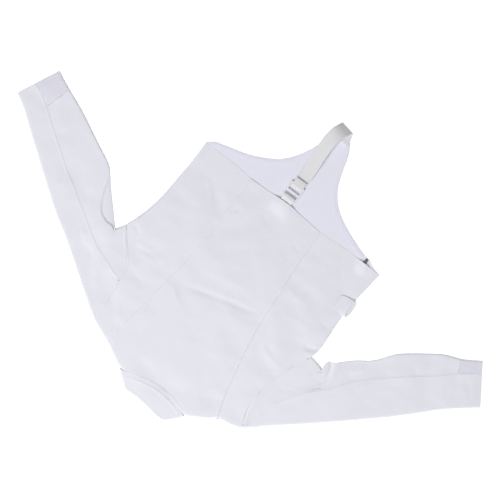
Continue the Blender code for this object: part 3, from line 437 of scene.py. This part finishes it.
def beside(points, offset):
    """Plan points moved to the left of their run by the offset."""
    steps = np.gradient(points, axis=0)
    left = np.stack((-steps[:, 1], steps[:, 0]), axis=1)
    return points + offset * left / np.linalg.norm(left, axis=1)[:, None]


def soft_step(value):
    value = np.clip(value, 0, 1)
    return value * value * (3 - 2 * value)


def fold_height(plan, folds):
    """The height that folds add at plan points: each fades towards its ends."""
    height = np.zeros(len(plan))
    for start, middle, end, half_width, depth in folds:
        start, middle, end = (np.array(point, float) for point in (start, middle, end))
        bow = 2 * middle - (start + end) / 2
        count = int(FOLD_SAMPLES * np.linalg.norm(end - start) / half_width) + FOLD_SAMPLES
        shares = np.linspace(0, 1, count)[:, None]
        line = (1 - shares) ** 2 * start + 2 * shares * (1 - shares) * bow + shares**2 * end
        away = np.linalg.norm(plan[:, None, :] - line, axis=-1)
        along = shares[away.argmin(axis=1), 0]
        faded = depth * (4 * along * (1 - along)) ** FOLD_FADE
        height += faded * np.exp(-((away.min(axis=1) / half_width) ** 2))
    return height


def ripple(plan):
    """A faint unevenness of laid cloth: crossing waves whose phase wanders."""
    rng = np.random.default_rng(RIPPLE_SEED)
    height = np.zeros(len(plan))
    for wave_length, size in RIPPLES:
        for _ in range(RIPPLE_WAVES):
            angle, phase, wander = rng.uniform(0, 2 * math.pi, 3)
            along = plan @ np.array((math.cos(angle), math.sin(angle)))
            across = plan @ np.array((-math.sin(angle), math.cos(angle)))
            bend = RIPPLE_BEND * np.sin(across * 2 * math.pi / (RIPPLE_WANDER * wave_length) + wander)
            height += size * np.sin(along * 2 * math.pi / wave_length + bend + phase)
    return height


class Wire:
    """A socket of a material, on which Python's operators add Math nodes."""

    def __init__(self, look, socket):
        self.look = look
        self.socket = socket

    def maths(self, operation, first, second=None):
        inputs = {0: first} if second is None else {0: first, 1: second}
        return self.look.node("ShaderNodeMath", {"operation": operation}, inputs)

    def __add__(self, other):
        return self.maths("ADD", self, other)

    __radd__ = __add__

    def __sub__(self, other):
        return self.maths("SUBTRACT", self, other)

    def __rsub__(self, other):
        return self.maths("SUBTRACT", other, self)

    def __mul__(self, other):
        return self.maths("MULTIPLY", self, other)

    __rmul__ = __mul__

    def sine(self):
        return self.maths("SINE", self)


class Look:
    """A material, its nodes and its shader."""

    def __init__(self, name, colour, roughness, metallic=0.0):
        self.material = bpy.data.materials.new(name)
        self.material.use_nodes = True
        self.tree = self.material.node_tree
        self.shader = self.tree.nodes["Principled BSDF"]
        self.colour = (*colour, 1.0)
        self.shader.inputs["Base Color"].default_value = self.colour
        self.shader.inputs["Roughness"].default_value = roughness
        self.shader.inputs["Metallic"].default_value = metallic
        self.material.diffuse_color = self.colour

    def node(self, kind, settings, inputs, output=0):
        made = self.tree.nodes.new(kind)
        for key, value in settings.items():
            setattr(made, key, value)
        for key, value in inputs.items():
            if isinstance(value, Wire):
                self.tree.links.new(value.socket, made.inputs[key])
            else:
                made.inputs[key].default_value = value
        return Wire(self, made.outputs[output])

    def feed(self, name, wire):
        self.tree.links.new(wire.socket, self.shader.inputs[name])

    def turned(self, turn):
        """Object coordinates turned about Z."""
        where = self.node("ShaderNodeTexCoord", {}, {}, "Object")
        return self.node("ShaderNodeMapping", {}, {"Vector": where, "Rotation": (0.0, 0.0, turn)})

    def parts(self, vector):
        return [self.node("ShaderNodeSeparateXYZ", {}, {0: vector}, axis) for axis in "XYZ"]

    def noise(self, vector, scale, detail=2.0):
        """Noise from 0 to 1 whose features measure about one over the scale, in metres."""
        inputs = {"Vector": vector, "Scale": scale, "Detail": detail, "Roughness": 0.5}
        return self.node("ShaderNodeTexNoise", {}, inputs, 0)

    def shade(self, mask, darker):
        """Mixes the colour towards a darker one where the mask is 1."""
        dark = tuple(channel * darker for channel in self.colour[:3]) + (1.0,)
        mixed = self.node("ShaderNodeMix", {"data_type": "RGBA"}, {0: mask, 6: self.colour, 7: dark}, 2)
        self.feed("Base Color", mixed)

    def raise_by(self, height):
        """Bumps the surface by a height in millimetres."""
        bump = self.node("ShaderNodeBump", {}, {"Height": height, "Strength": 1.0, "Distance": MM})
        self.feed("Normal", bump)


def cloth_look(name, colour, turn, pitch):
    """Matt woven cloth: a fine weave along the turned axes, faint slubs and a soft crumple."""
    look = Look(name, colour, 0.9)
    look.shader.inputs["Sheen Weight"].default_value = 0.15
    look.shader.inputs["Sheen Roughness"].default_value = 0.6
    place = look.turned(turn)
    x, y, _ = look.parts(place)
    step = 2 * math.pi / (pitch * MM)
    weave = (x * step).sine() * (y * step).sine()
    stretched = look.node("ShaderNodeMapping", {}, {"Vector": place, "Scale": SLUB_SCALES})
    slub = look.noise(stretched, 1.0)
    crumple = look.noise(place, CRUMPLE_SCALE, 2.0)
    look.raise_by(weave * WEAVE_HEIGHT + slub * SLUB_HEIGHT + crumple * CRUMPLE_HEIGHT)
    look.shade(look.noise(place, TINT_SCALE, 2.0) * 0.5 + slub * 0.5, CLOTH_DARKER)
    return look.material


def rib_look(name, colour, turn, pitch):
    """Rib knit: rows along the sleeve, each with its loops, and painted shade that darkens the grooves
    between the rows.
    """
    look = Look(name, colour, 0.92)
    look.shader.inputs["Sheen Weight"].default_value = 0.2
    x, y, _ = look.parts(look.turned(turn))
    rows = (y * (2 * math.pi / (pitch * MM))).sine()
    loops = (x * (2 * math.pi / (KNIT_LOOP_SHARE * pitch * MM)) + rows * KNIT_LOOP_SWAY).sine()
    look.raise_by(rows * RIB_HEIGHT + loops * KNIT_LOOP_HEIGHT)
    # Painted shade: the colour darkens where the rib rows dip, in the grooves between them
    look.shade(rows * -0.5 + 0.5, RIB_GROOVE_SHADE)
    return look.material


def elastic_look(name, colour, pitch):
    """Woven elastic: fine ribs across the band and cords along it, on its own coordinates, with painted
    shade that darkens the grooves between them.
    """
    look = Look(name, colour, 0.5)
    look.shader.inputs["Sheen Weight"].default_value = 0.2
    place = look.node("ShaderNodeTexCoord", {}, {}, "UV")
    across, along, _ = look.parts(place)
    ribs = (along * (2 * math.pi / (pitch * MM))).sine()
    cords = (across * (2 * math.pi / (ELASTIC_CORD_PITCH * pitch * MM))).sine()
    look.raise_by(ribs * ELASTIC_RIB_HEIGHT + cords * ELASTIC_CORD_HEIGHT)
    # Painted shade: the colour darkens where the ribs and cords dip, in the grooves of the weave
    look.shade(ribs * -0.25 + cords * -0.25 + 0.5, ELASTIC_GROOVE_SHADE)
    return look.material


def plastic_look(name, colour, roughness, metallic, grain):
    """Moulded plastic, cast metal or thread, with a faint grain."""
    look = Look(name, colour, roughness, metallic)
    place = look.turned(0.0)
    speck = look.noise(place, grain, 3.0)
    look.raise_by(speck * GRAIN_HEIGHT)
    look.shade(look.noise(place, GRAIN_TINT_SCALE, 2.0), GRAIN_DARKER)
    return look.material


def finished(name, mesh, look):
    """Makes a piece from its mesh, in its material, riding on the jacket."""
    mesh.materials.clear()
    mesh.materials.append(LOOKS[look])
    for face in mesh.polygons:
        face.use_smooth = True
    thing = bpy.data.objects.new(name, mesh)
    bpy.context.scene.collection.objects.link(thing)
    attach(thing, "root")
    return thing


def hem_drop(x, y):
    """How far the lower back is pressed down on the front, less over the tab and the slider."""
    made = HEM_TOP + (BACK_TOP - HEM_TOP) * soft_step(y / HEM_FALL)
    pressed = HEM_PRESSED + (BACK_TOP - HEM_PRESSED) * soft_step(y / PRESS_REACH)
    over = sum(np.exp(-(((x - middle) / half) ** 4)) for middle, half in HEM_OVER)
    return (made - pressed) * (1 - np.minimum(over, 1) * (1 - soft_step(y / OVER_REACH)))


def press(points, is_back):
    """Presses the lower body flat: the back comes down on the front, whose side roll thins under it."""
    x, y, z = points.T
    drop = hem_drop(x, y)
    if is_back:
        least = FRONT_TOP + PRESS_GAP + (z - HEM_UNDER) * PRESS_THIN
        points[:, 2] = np.where(drop > 0, np.maximum(z - drop, least), z)
    else:
        thin = 1 - (1 - ROLL_THIN) * np.minimum(drop / FULL_DROP, 1)
        points[:, 2] = np.where(z > FRONT_TOP, FRONT_TOP + (z - FRONT_TOP) * thin, z)


def settle(points, curve, drop):
    """Lowers the raised band of cloth beside a seam, on which the seam's own strip lies."""
    line = smooth_curve(curve)(np.linspace(0, 1, SETTLE_SAMPLES))
    away = np.linalg.norm(points[:, None, :2] - line, axis=-1).min(axis=1)
    upper = soft_step((points[:, 2] - UPPER_FROM) / UPPER_OVER)
    points[:, 2] -= upper * drop * soft_step((SETTLE_WIDTH - away) / SETTLE_FADE)


def sink_lens(points, faces_up):
    """Sinks the right underarm under its fold: the lower cloth shows there and falls away to the edge."""
    fold, edge = (smooth_curve(line)(np.linspace(0, 1, LENS_SAMPLES)) for line in (LENS_FOLD, LENS_EDGE))
    away = np.linalg.norm(points[:, None, :2] - fold, axis=-1)
    nearest = away.argmin(axis=1)
    beyond = ((points[:, :2] - fold[nearest]) * (fold - beside(fold, 1.0))[nearest]).sum(axis=1)
    inside = soft_step(beyond / LENS_STEP) * (nearest > 0) * (nearest < LENS_SAMPLES - 1)
    from_edge = np.linalg.norm(points[:, None, :2] - edge, axis=-1).min(axis=1)
    share = from_edge / (from_edge + away.min(axis=1))
    level = LENS_LOW + (LENS_TOP - LENS_LOW) * np.sqrt(1 - (1 - share) ** 2) - LENS_CLOTH * ~faces_up
    points[:, 2] += inside * np.minimum(level - points[:, 2], 0)


def bulge_at_seam(points, reach):
    """Raises the upper cloth of the left sleeve towards its back seam."""
    line = smooth_curve(sewn_edge("sleeve_left_outer", LEFT_AHEAD))(np.linspace(0, 1, BULGE_SAMPLES))
    away = np.linalg.norm(points[:, None, :2] - line, axis=-1)
    lift = np.interp(away.argmin(axis=1) / (BULGE_SAMPLES - 1), *np.transpose(SEAM_BULGE))
    upper = soft_step((points[:, 2] - UPPER_FROM) / UPPER_OVER)
    points[:, 2] += upper * lift * np.exp(-((away.min(axis=1) / reach) ** 2))


def nudge(points, nudges):
    """Moves the cloth round some plan points a little sideways."""
    for x, y, across, along, reach in nudges:
        near = np.exp(-(((points[:, :2] - (x, y)) ** 2).sum(axis=1) / reach**2))
        points[:, :2] += near[:, None] * (across, along)


def joined_mesh(node, name):
    """The node's own mesh with its triangles joined to quads and its sharp edges creased."""
    bm = bmesh.new()
    bm.from_mesh(frame["nodes"][node].data)
    bmesh.ops.remove_doubles(bm, verts=bm.verts, dist=MERGE_WITHIN * MM)
    bmesh.ops.join_triangles(
        bm, faces=bm.faces, angle_face_threshold=JOIN_FACES, angle_shape_threshold=JOIN_SHAPES
    )
    layer = bm.edges.layers.float.new("crease_edge")
    for edge in bm.edges:
        if edge.is_manifold and edge.calc_face_angle() > CREASE_OVER:
            edge[layer] = CREASE
        for notch in NOTCHES:
            if all(math.dist(vert.co.xy / MM, notch) < NOTCH_REACH for vert in edge.verts):
                edge[layer] = 1.0
    mesh = bpy.data.meshes.new(name)
    bm.to_mesh(mesh)
    bm.free()
    return mesh


def shape_cloth(node, mesh, points, folded):
    """Lays a node's finer folds and other small forms into the points of its mesh."""
    if folded:
        upper = soft_step((points[:, 2] - UPPER_FROM) / UPPER_OVER)
        added = fold_height(points[:, :2], FINE_FOLDS) + ripple(points[:, :2])
        points[:, 2] += upper * np.maximum(added, DEEPEST)
    if node == "front_main":
        shown = (points[:, 2] > TONGUE_OVER) & (points[:, 1] < TONGUE_FROM)
        points[:, 2] += shown * fold_height(points[:, :2], TONGUE_FOLDS)
    if node in SETTLED:
        settle(points, *SETTLED[node])
    if node in BULGE_REACH:
        bulge_at_seam(points, BULGE_REACH[node])
    if node == "sleeve_left_inner":
        nudge(points, UNDERARM_NUDGES)
    if node.startswith(("back_", "front_")):
        press(points, node.startswith("back_"))
    if node == "sleeve_right_inner":
        sink_lens(points, np.array([vert.normal.z > 0 for vert in mesh.vertices]))
    if node == "side_loop":
        sewn = soft_step((LOOP_SEWN - points[:, 0]) / LOOP_RISE)
        flat = LOOP_GROUND + (points[:, 2] - LOOP_GROUND) * sewn * LOOP_FLAT
        points[:, 2] = flat - hem_drop(points[:, 0], points[:, 1])


def softened(node, name, levels, look, folded=True):
    """A finer copy of a cloth node, subdivided, with its finer forms laid in."""
    thing = finished(name, joined_mesh(node, name), look)
    fine = thing.modifiers.new("finer", "SUBSURF")
    fine.levels = levels
    fine.render_levels = levels
    apply_modifiers(thing)
    mesh = thing.data
    points = np.empty(len(mesh.vertices) * 3)
    mesh.vertices.foreach_get("co", points)
    points = points.reshape(-1, 3) / MM
    shape_cloth(node, mesh, points, folded)
    mesh.vertices.foreach_set("co", (points * MM).ravel())
    mesh.update()
    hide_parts(node)
    return thing


def apply_modifiers(thing):
    """Replaces the piece's mesh by what its modifiers make of it."""
    bpy.context.view_layer.update()
    graph = bpy.context.evaluated_depsgraph_get()
    made = bpy.data.meshes.new_from_object(thing.evaluated_get(graph), depsgraph=graph)
    thing.modifiers.clear()
    thing.data = made


class Ground:
    """The upper side of some pieces, on which seams and stitches are laid."""

    def __init__(self, things):
        self.trees = []
        for thing in things:
            places = [vert.co for vert in thing.data.vertices]
            faces = [face.vertices for face in thing.data.polygons]
            self.trees.append(BVHTree.FromPolygons(places, faces))

    def height(self, x, y):
        """The height of the highest piece at or close round a plan point, or None beside the pieces."""
        heights = []
        for dx, dy in ((0, 0), (FEEL_ROUND, 0), (-FEEL_ROUND, 0), (0, FEEL_ROUND), (0, -FEEL_ROUND)):
            start = Vector(((x + dx) * MM, (y + dy) * MM, FEEL_FROM * MM))
            hits = [tree.ray_cast(start, Vector((0, 0, -1)))[0] for tree in self.trees]
            heights += [hit.z / MM for hit in hits if hit is not None]
        return max(heights, default=None)


def bead_mesh(size):
    """A small round bead, longest along X, from which rows are made."""
    bm = bmesh.new()
    shape = Matrix.Diagonal((*[side * MM for side in size], 1.0))
    bmesh.ops.create_uvsphere(bm, u_segments=6, v_segments=4, radius=1.0, matrix=shape)
    mesh = bpy.data.meshes.new("bead")
    bm.to_mesh(mesh)
    bm.free()
    return mesh


def add_copy(bm, mesh, place):
    """Adds the mesh to the piece at a place."""
    mesh.transform(place)
    bm.from_mesh(mesh)
    mesh.transform(place.inverted())


def stitch_row(bm, bead, ground, points, sizes):
    """Adds a row of stitches along plan points, each a small bead that lies on the cloth."""
    steps = np.linalg.norm(np.diff(points, axis=0), axis=1)
    places = np.concatenate(((0.0,), np.cumsum(steps)))
    count = int(places[-1] // sizes.stitch_pitch_mm)
    for index in range(count):
        middle = (index + 0.5) * sizes.stitch_pitch_mm
        near = [
            np.array([np.interp(place, places, points[:, axis]) for axis in (0, 1)])
            for place in (middle - STITCH_REACH, middle, middle + STITCH_REACH)
        ]
        levels = [ground.height(*place) for place in near]
        if None in levels:
            continue
        ahead = Vector((*(near[2] - near[0]), levels[2] - levels[0])).normalized()
        turn = ahead.to_track_quat("X", "Z").to_matrix().to_4x4()
        add_copy(bm, bead, Matrix.Translation(Vector((*near[1], levels[1] + STITCH_LIFT)) * MM) @ turn)


def sewn_edge(node, ahead):
    """The plan points of a cloth node's upper edge that runs in the direction ahead, in order."""
    bm = bmesh.new()
    bm.from_mesh(frame["nodes"][node].data)
    ahead = Vector((*ahead, 0)).normalized()
    found = {}
    for face in bm.faces:
        upright = abs(face.normal.z) < UPRIGHT_UNDER
        sideways = abs(face.normal.dot(ahead)) < ENDWISE_OVER
        if upright and sideways and min(vert.co.z for vert in face.verts) > EDGE_OVER * MM:
            for vert in face.verts:
                place = vert.co / MM
                found[round(place.x, 1), round(place.y, 1)] = place.dot(ahead)
    bm.free()
    return np.array(sorted(found, key=found.get))


def stitched(name, ground, rows, sizes):
    """A piece of thread: rows of stitches, each a curve and its distance to the left of it."""
    bm = bmesh.new()
    bead = bead_mesh((sizes.stitch_length_mm / 2, *STITCH_HALF))
    for curve, offset in rows:
        path = smooth_curve(curve)
        points = beside(path(np.linspace(0, 1, int(path.length / ROW_STEP) + 2)), offset)
        stitch_row(bm, bead, ground, points, sizes)
    mesh = bpy.data.meshes.new(name)
    bm.to_mesh(mesh)
    bm.free()
    finished(name, mesh, "thread")


def laid_band(name, ground, curve, profile, side, look):
    """A felled seam: a strip of cloth laid along a curve with its profile, mirrored where side is -1."""
    edges, lifts = np.array(profile).T
    edges = edges * side
    path = smooth_curve(curve)
    rows = int(path.length / BAND_STEP) + 2
    trim = BAND_TRIM / path.length
    middle = path(np.linspace(trim, 1 - trim, rows))
    plan = np.stack([beside(middle, edge) for edge in edges], axis=1)
    levels = np.array([[ground.height(*point) or np.nan for point in row] for row in plan])
    usual = np.nanmedian(levels, axis=1)
    known = ~np.isnan(usual)
    usual = np.interp(np.arange(rows), np.flatnonzero(known), usual[known])[:, None]
    levels = np.clip(np.where(np.isnan(levels), usual, levels), usual - BAND_STRAY, usual + BAND_STRAY)
    levels[[0, -1]] -= BAND_SINK
    points = np.concatenate((plan, (levels + lifts)[..., None]), axis=-1).reshape(-1, 3)
    bm = bmesh.new()
    grid = bmesh.ops.create_grid(bm, x_segments=len(edges) - 1, y_segments=rows - 1, size=1)["verts"]
    for vert, point in zip(grid, points):
        vert.co = Vector(point) * MM
    bmesh.ops.recalc_face_normals(bm, faces=bm.faces)
    if sum(face.normal.z for face in bm.faces) < 0:
        bmesh.ops.reverse_faces(bm, faces=bm.faces)
    mesh = bpy.data.meshes.new(name)
    bm.to_mesh(mesh)
    bm.free()
    thing = finished(name, mesh, look)
    wall = thing.modifiers.new("wall", "SOLIDIFY")
    wall.thickness = BAND_THICKNESS * MM
    wall.offset = -1
    apply_modifiers(thing)
    width = abs(edges[-1] - edges[0]) * MM


def band_piece(name, stations, thickness, rows, node):
    """A woven band through its stations, with its own coordinates across and along."""
    path = smooth_curve(stations)
    middle = path(np.linspace(0, 1, rows))
    shares = np.linspace(-1, 1, BAND_COLUMNS)
    places = np.concatenate(((0.0,), np.cumsum(np.linalg.norm(np.diff(middle[:, :3], axis=0), axis=1))))
    bm = bmesh.new()
    made = bmesh.ops.create_grid(
        bm, x_segments=BAND_COLUMNS - 1, y_segments=rows - 1, size=1, calc_uvs=True
    )
    marks = {}
    for index, vert in enumerate(made["verts"]):
        row, column = divmod(index, BAND_COLUMNS)
        x, y, height, width, turn = middle[row]
        across = shares[column] * width / 2
        turn = math.radians(turn)
        vert.co = Vector((x + across * math.cos(turn), y + across * math.sin(turn), height)) * MM
        marks[vert] = (across * MM, places[row] * MM)
    layer = bm.loops.layers.uv.verify()
    for face in bm.faces:
        for loop in face.loops:
            loop[layer].uv = marks[loop.vert]
    mesh = bpy.data.meshes.new(name)
    bm.to_mesh(mesh)
    bm.free()
    thing = finished(name, mesh, "elastic")
    wall = thing.modifiers.new("wall", "SOLIDIFY")
    wall.thickness = thickness * MM
    wall.offset = 0
    soft = thing.modifiers.new("edges", "BEVEL")
    soft.width = SOFT_EDGE * MM
    soft.segments = 2
    soft.limit_method = "ANGLE"
    apply_modifiers(thing)
    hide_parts(node)
    middle[:, 3].mean() * MM


def length_property(name, description, length, least):
    return FloatProperty(name=name, description=description, default=length, min=least)


def colour_property(name, description, colour):
    return FloatVectorProperty(name=name, description=description, subtype="COLOR", size=3, default=colour)


class JacketSizes(bpy.types.PropertyGroup):
    """Sizes that a user would change."""

    weave_pitch_mm: length_property("Weave", "Width of two threads in mm", 0.9, 0.2)
    rib_pitch_mm: length_property("Rib", "Width of one rib of the knit in mm", 2.4, 0.5)
    stitch_pitch_mm: length_property("Stitch pitch", "From stitch to stitch in mm", 3.4, 1.0)
    stitch_length_mm: length_property("Stitch", "Length of one stitch in mm", 2.7, 0.5)
    fineness: IntProperty(
        name="Fineness", description="How often the cloth is subdivided", default=3, min=1, max=3
    )


class JacketColours(bpy.types.PropertyGroup):
    """Colours that a user would change."""

    cloth: colour_property("Cloth", "Colour of the jacket's cloth", (0.80, 0.80, 0.865))
    lining: colour_property("Lining", "Colour of the front's lining", (0.81, 0.805, 0.91))
    rib: colour_property("Rib", "Colour of the knit cuffs", (0.865, 0.855, 0.965))
    elastic: colour_property("Elastic", "Colour of the strap", (0.73, 0.73, 0.755))
    plastic: colour_property("Slide", "Colour of the slide", (0.80, 0.79, 0.81))


class JACKET_OT_looks(bpy.types.Operator):
    """Makes the materials of the cloth, knit, elastic, thread, plastic and metal"""

    bl_idname = "jacket.looks"
    bl_label = "Materials"

    def execute(self, context):
        sizes = context.scene.jacket_sizes
        colours = context.scene.jacket_colours
        pitch = sizes.weave_pitch_mm
        LOOKS["cloth"] = cloth_look("jacket cloth", colours.cloth, 0.0, pitch)
        LOOKS["cloth_right"] = cloth_look("right sleeve cloth", colours.cloth, RIGHT_TURN, pitch)
        LOOKS["cloth_left"] = cloth_look("left sleeve cloth", colours.cloth, LEFT_TURN, pitch)
        LOOKS["lining"] = cloth_look("front cloth", colours.lining, 0.0, LINING_FINER * pitch)
        LOOKS["rib_right"] = rib_look("right rib", colours.rib, RIGHT_TURN, sizes.rib_pitch_mm)
        LOOKS["rib_left"] = rib_look("left rib", colours.rib, LEFT_TURN, sizes.rib_pitch_mm)
        LOOKS["elastic"] = elastic_look("woven elastic", colours.elastic, ELASTIC_PITCH)
        LOOKS["thread"] = plastic_look("white thread", (0.84, 0.84, 0.87), 0.7, 0.0, 900.0)
        LOOKS["plastic"] = plastic_look("slide plastic", colours.plastic, 0.38, 0.0, 400.0)
        LOOKS["metal"] = plastic_look("slider metal", (0.13, 0.13, 0.15), 0.4, 0.9, 600.0)
        LOOKS["teeth"] = plastic_look("zip teeth", (0.78, 0.78, 0.80), 0.45, 0.0, 500.0)
        return {"FINISHED"}


def cut_pieces(cuts, fineness):
    """Makes the cloth pieces of a table."""
    things = [softened(node, node + "_cloth", fineness, look) for node, look, slot, *_ in cuts]


class JACKET_OT_body(bpy.types.Operator):
    """Makes the back and front panels"""

    bl_idname = "jacket.body"
    bl_label = "Body panels"

    def execute(self, context):
        cut_pieces(BODY_CUTS, context.scene.jacket_sizes.fineness)
        return {"FINISHED"}


class JACKET_OT_sleeves(bpy.types.Operator):
    """Makes the sleeves with their knit cuffs"""

    bl_idname = "jacket.sleeves"
    bl_label = "Sleeves"

    def execute(self, context):
        cut_pieces(SLEEVE_CUTS, context.scene.jacket_sizes.fineness)
        return {"FINISHED"}


class JACKET_OT_collar(bpy.types.Operator):
    """Makes the flattened stand collar"""

    bl_idname = "jacket.collar"
    bl_label = "Collar"

    def execute(self, context):
        cut_pieces(COLLAR_CUTS, context.scene.jacket_sizes.fineness)
        return {"FINISHED"}


def cloth_ground():
    return Ground([thing for thing in bpy.data.objects if thing.name.endswith("_cloth")])


def cloth_and_seams():
    names = [thing.name for thing in bpy.data.objects]
    laid = [name for name in names if name.endswith("_cloth") or name.startswith("seam_")]
    return Ground([bpy.data.objects[name] for name in laid])


class JACKET_OT_seams(bpy.types.Operator):
    """Makes the felled seams of the back, armholes, collar, sleeves and tongue"""

    bl_idname = "jacket.seams"
    bl_label = "Felled seams"

    def execute(self, context):
        ground = cloth_ground()
        sleeve_left = sewn_edge("sleeve_left_outer", LEFT_AHEAD)
        sleeve_right = sewn_edge("sleeve_right_outer", RIGHT_AHEAD)
        for name, curve, profile, side, look, below in (
            ("princess_left", PRINCESS_LEFT, LAPPED_SEAM, 1, "cloth", "back_centre back_side_left"),
            ("princess_right", PRINCESS_RIGHT, LAPPED_SEAM, -1, "cloth", "back_centre back_side_right"),
            (
                "armhole_left", ARMHOLE_LEFT, DOUBLE_SEAM, 1, "cloth_left",
                "back_side_left sleeve_left_outer",
            ),
            (
                "armhole_right", ARMHOLE_RIGHT, DOUBLE_SEAM, -1, "cloth_right",
                "back_side_right sleeve_right_outer",
            ),
            ("collar", NECK, DOUBLE_SEAM, 1, "cloth", "back_centre collar_back"),
            (
                "sleeve_left", sleeve_left, STEPPED_SEAM, 1, "cloth_left",
                "sleeve_left_outer sleeve_left_inner",
            ),
            (
                "sleeve_right", sleeve_right, RIDGED_SEAM, 1, "cloth_right",
                "sleeve_right_outer sleeve_right_inner",
            ),
            ("facing_left", LEG_LEFT, FACING_SEAM, 1, "lining", "front_main"),
            ("facing_right", LEG_RIGHT, FACING_SEAM, 1, "lining", "front_main"),
        ):
            laid_band("seam_" + name, ground, curve, profile, side, look)
        return {"FINISHED"}


class JACKET_OT_stitching(bpy.types.Operator):
    """Sews the rows of stitches on the back's seams, hem, collar and armholes and the tongue's facing"""

    bl_idname = "jacket.stitching"
    bl_label = "Stitching"

    def execute(self, context):
        sizes = context.scene.jacket_sizes
        ground = cloth_and_seams()
        stitched("stitches_back", ground, BACK_ROWS, sizes)
        stitched("stitches_armholes", ground, ARMHOLE_ROWS, sizes)
        stitched("stitches_facing", ground, FACING_ROWS, sizes)
        return {"FINISHED"}


class JACKET_OT_strap(bpy.types.Operator):
    """Makes the elastic strap, the webbing tab and the finish of the slide"""

    bl_idname = "jacket.strap"
    bl_label = "Strap and slide"

    def execute(self, context):
        band_piece("strap_elastic", STRAP_STATIONS, STRAP_THICKNESS, STRAP_ROWS, "crotch_strap")
        tab = [(TAB_X, y, height, TAB_WIDTH, 0.0) for y, height in TAB_PATH]
        band_piece("tab_webbing", tab, TAB_THICKNESS, TAB_ROWS, "strap_tab")
        slide = frame["nodes"]["strap_slide"]
        slide.material_slots[0].material = LOOKS["plastic"]
        return {"FINISHED"}


class JACKET_OT_loop(bpy.types.Operator):
    """Makes the cloth loop on the left side seam"""

    bl_idname = "jacket.loop"
    bl_label = "Side loop"

    def execute(self, context):
        loop = softened(
            "side_loop", "side_loop_cloth", SMALL_FINENESS, "cloth", folded=False
        )
        return {"FINISHED"}


class JACKET_OT_zip(bpy.types.Operator):
    """Makes the zip's tapes and teeth, and the finish of its slider"""

    bl_idname = "jacket.zip"
    bl_label = "Zip"

    def execute(self, context):
        tape = softened("zip", "zip_tape", SMALL_FINENESS, "lining", folded=False)
        path = smooth_curve(ZIP_LINE)
        count = int(path.length / TOOTH_PITCH)
        shares = (np.arange(count) + 0.5) / count
        middle = path(shares)
        bm = bmesh.new()
        tooth = bead_mesh(TOOTH_SIZE)
        for side in (-1, 1):
            points = beside(middle, side * TOOTH_ASIDE)
            for (x, y), (across, along) in zip(points, np.gradient(points, axis=0)):
                turn = Matrix.Rotation(math.atan2(along, across), 4, "Z")
                add_copy(bm, tooth, Matrix.Translation(Vector((x, y, TOOTH_HEIGHT)) * MM) @ turn)
        mesh = bpy.data.meshes.new("zip_teeth")
        bm.to_mesh(mesh)
        bm.free()
        finished("zip_teeth", mesh, "teeth")
        frame["nodes"]["zip_slider"].material_slots[0].material = LOOKS["metal"]
        return {"FINISHED"}


class JACKET_OT_stage(bpy.types.Operator):
    """Makes the floor, the lights, the world and the camera"""

    bl_idname = "jacket.stage"
    bl_label = "Stage"

    def execute(self, context):
        scene = context.scene
        bpy.ops.mesh.primitive_plane_add(size=FLOOR_SIZE, location=(0, 0, -FLOOR_DEPTH))
        floor = context.object
        floor.name = "floor"
        white = bpy.data.materials.new("pale floor")
        white.use_nodes = True
        shader = white.node_tree.nodes["Principled BSDF"]
        shader.inputs["Base Color"].default_value = FLOOR_COLOUR
        shader.inputs["Roughness"].default_value = 0.9
        shader.inputs["Emission Color"].default_value = WHITE
        shader.inputs["Emission Strength"].default_value = FLOOR_GLOW
        floor.data.materials.append(white)
        for name, place, size, power in LIGHTS:
            light = bpy.data.lights.new(name, "AREA")
            light.size = size
            light.energy = power
            thing = bpy.data.objects.new(name, light)
            thing.location = place
            thing.rotation_euler = (Vector(AIM) - Vector(place)).to_track_quat("-Z", "Y").to_euler()
            scene.collection.objects.link(thing)
        world = bpy.data.worlds.new("studio")
        world.use_nodes = True
        background = world.node_tree.nodes["Background"]
        background.inputs[0].default_value = WHITE
        background.inputs[1].default_value = WORLD_STRENGTH
        scene.world = world
        scene.view_settings.view_transform = "Standard"
        camera = bpy.data.cameras.new("overhead")
        camera.lens = CAMERA_LENS
        thing = bpy.data.objects.new("overhead", camera)
        thing.location = CAMERA_PLACE
        thing.rotation_euler = (0, 0, CAMERA_TURN)
        scene.collection.objects.link(thing)
        scene.camera = thing
        return {"FINISHED"}


class JACKET_PT_panel(bpy.types.Panel):
    """Lists the jacket's sizes, colours and pieces"""

    bl_idname = "JACKET_PT_panel"
    bl_label = "Fencing jacket"
    bl_space_type = "VIEW_3D"
    bl_region_type = "UI"
    bl_category = "Jacket"

    def draw(self, context):
        layout = self.layout
        for group in (context.scene.jacket_sizes, context.scene.jacket_colours):
            for name in group.__annotations__:
                layout.prop(group, name)
        for operator in OPERATORS:
            layout.operator(operator.bl_idname)


OPERATORS = (
    JACKET_OT_stage, JACKET_OT_looks, JACKET_OT_body, JACKET_OT_sleeves, JACKET_OT_collar, JACKET_OT_seams,
    JACKET_OT_loop, JACKET_OT_stitching, JACKET_OT_strap, JACKET_OT_zip,
)
CLASSES = (JacketSizes, JacketColours, *OPERATORS, JACKET_PT_panel)


def register():
    for cls in CLASSES:
        bpy.utils.register_class(cls)
    bpy.types.Scene.jacket_sizes = PointerProperty(type=JacketSizes)
    bpy.types.Scene.jacket_colours = PointerProperty(type=JacketColours)


def unregister():
    del bpy.types.Scene.jacket_colours
    del bpy.types.Scene.jacket_sizes
    for cls in reversed(CLASSES):
        bpy.utils.unregister_class(cls)


def main():
    register()
    bpy.ops.jacket.stage()
    bpy.ops.jacket.looks()
    bpy.ops.jacket.body()
    bpy.ops.jacket.sleeves()
    bpy.ops.jacket.collar()
    bpy.ops.jacket.seams()
    bpy.ops.jacket.loop()
    bpy.ops.jacket.stitching()
    bpy.ops.jacket.strap()
    bpy.ops.jacket.zip()


if __name__ == "__main__":
    main()
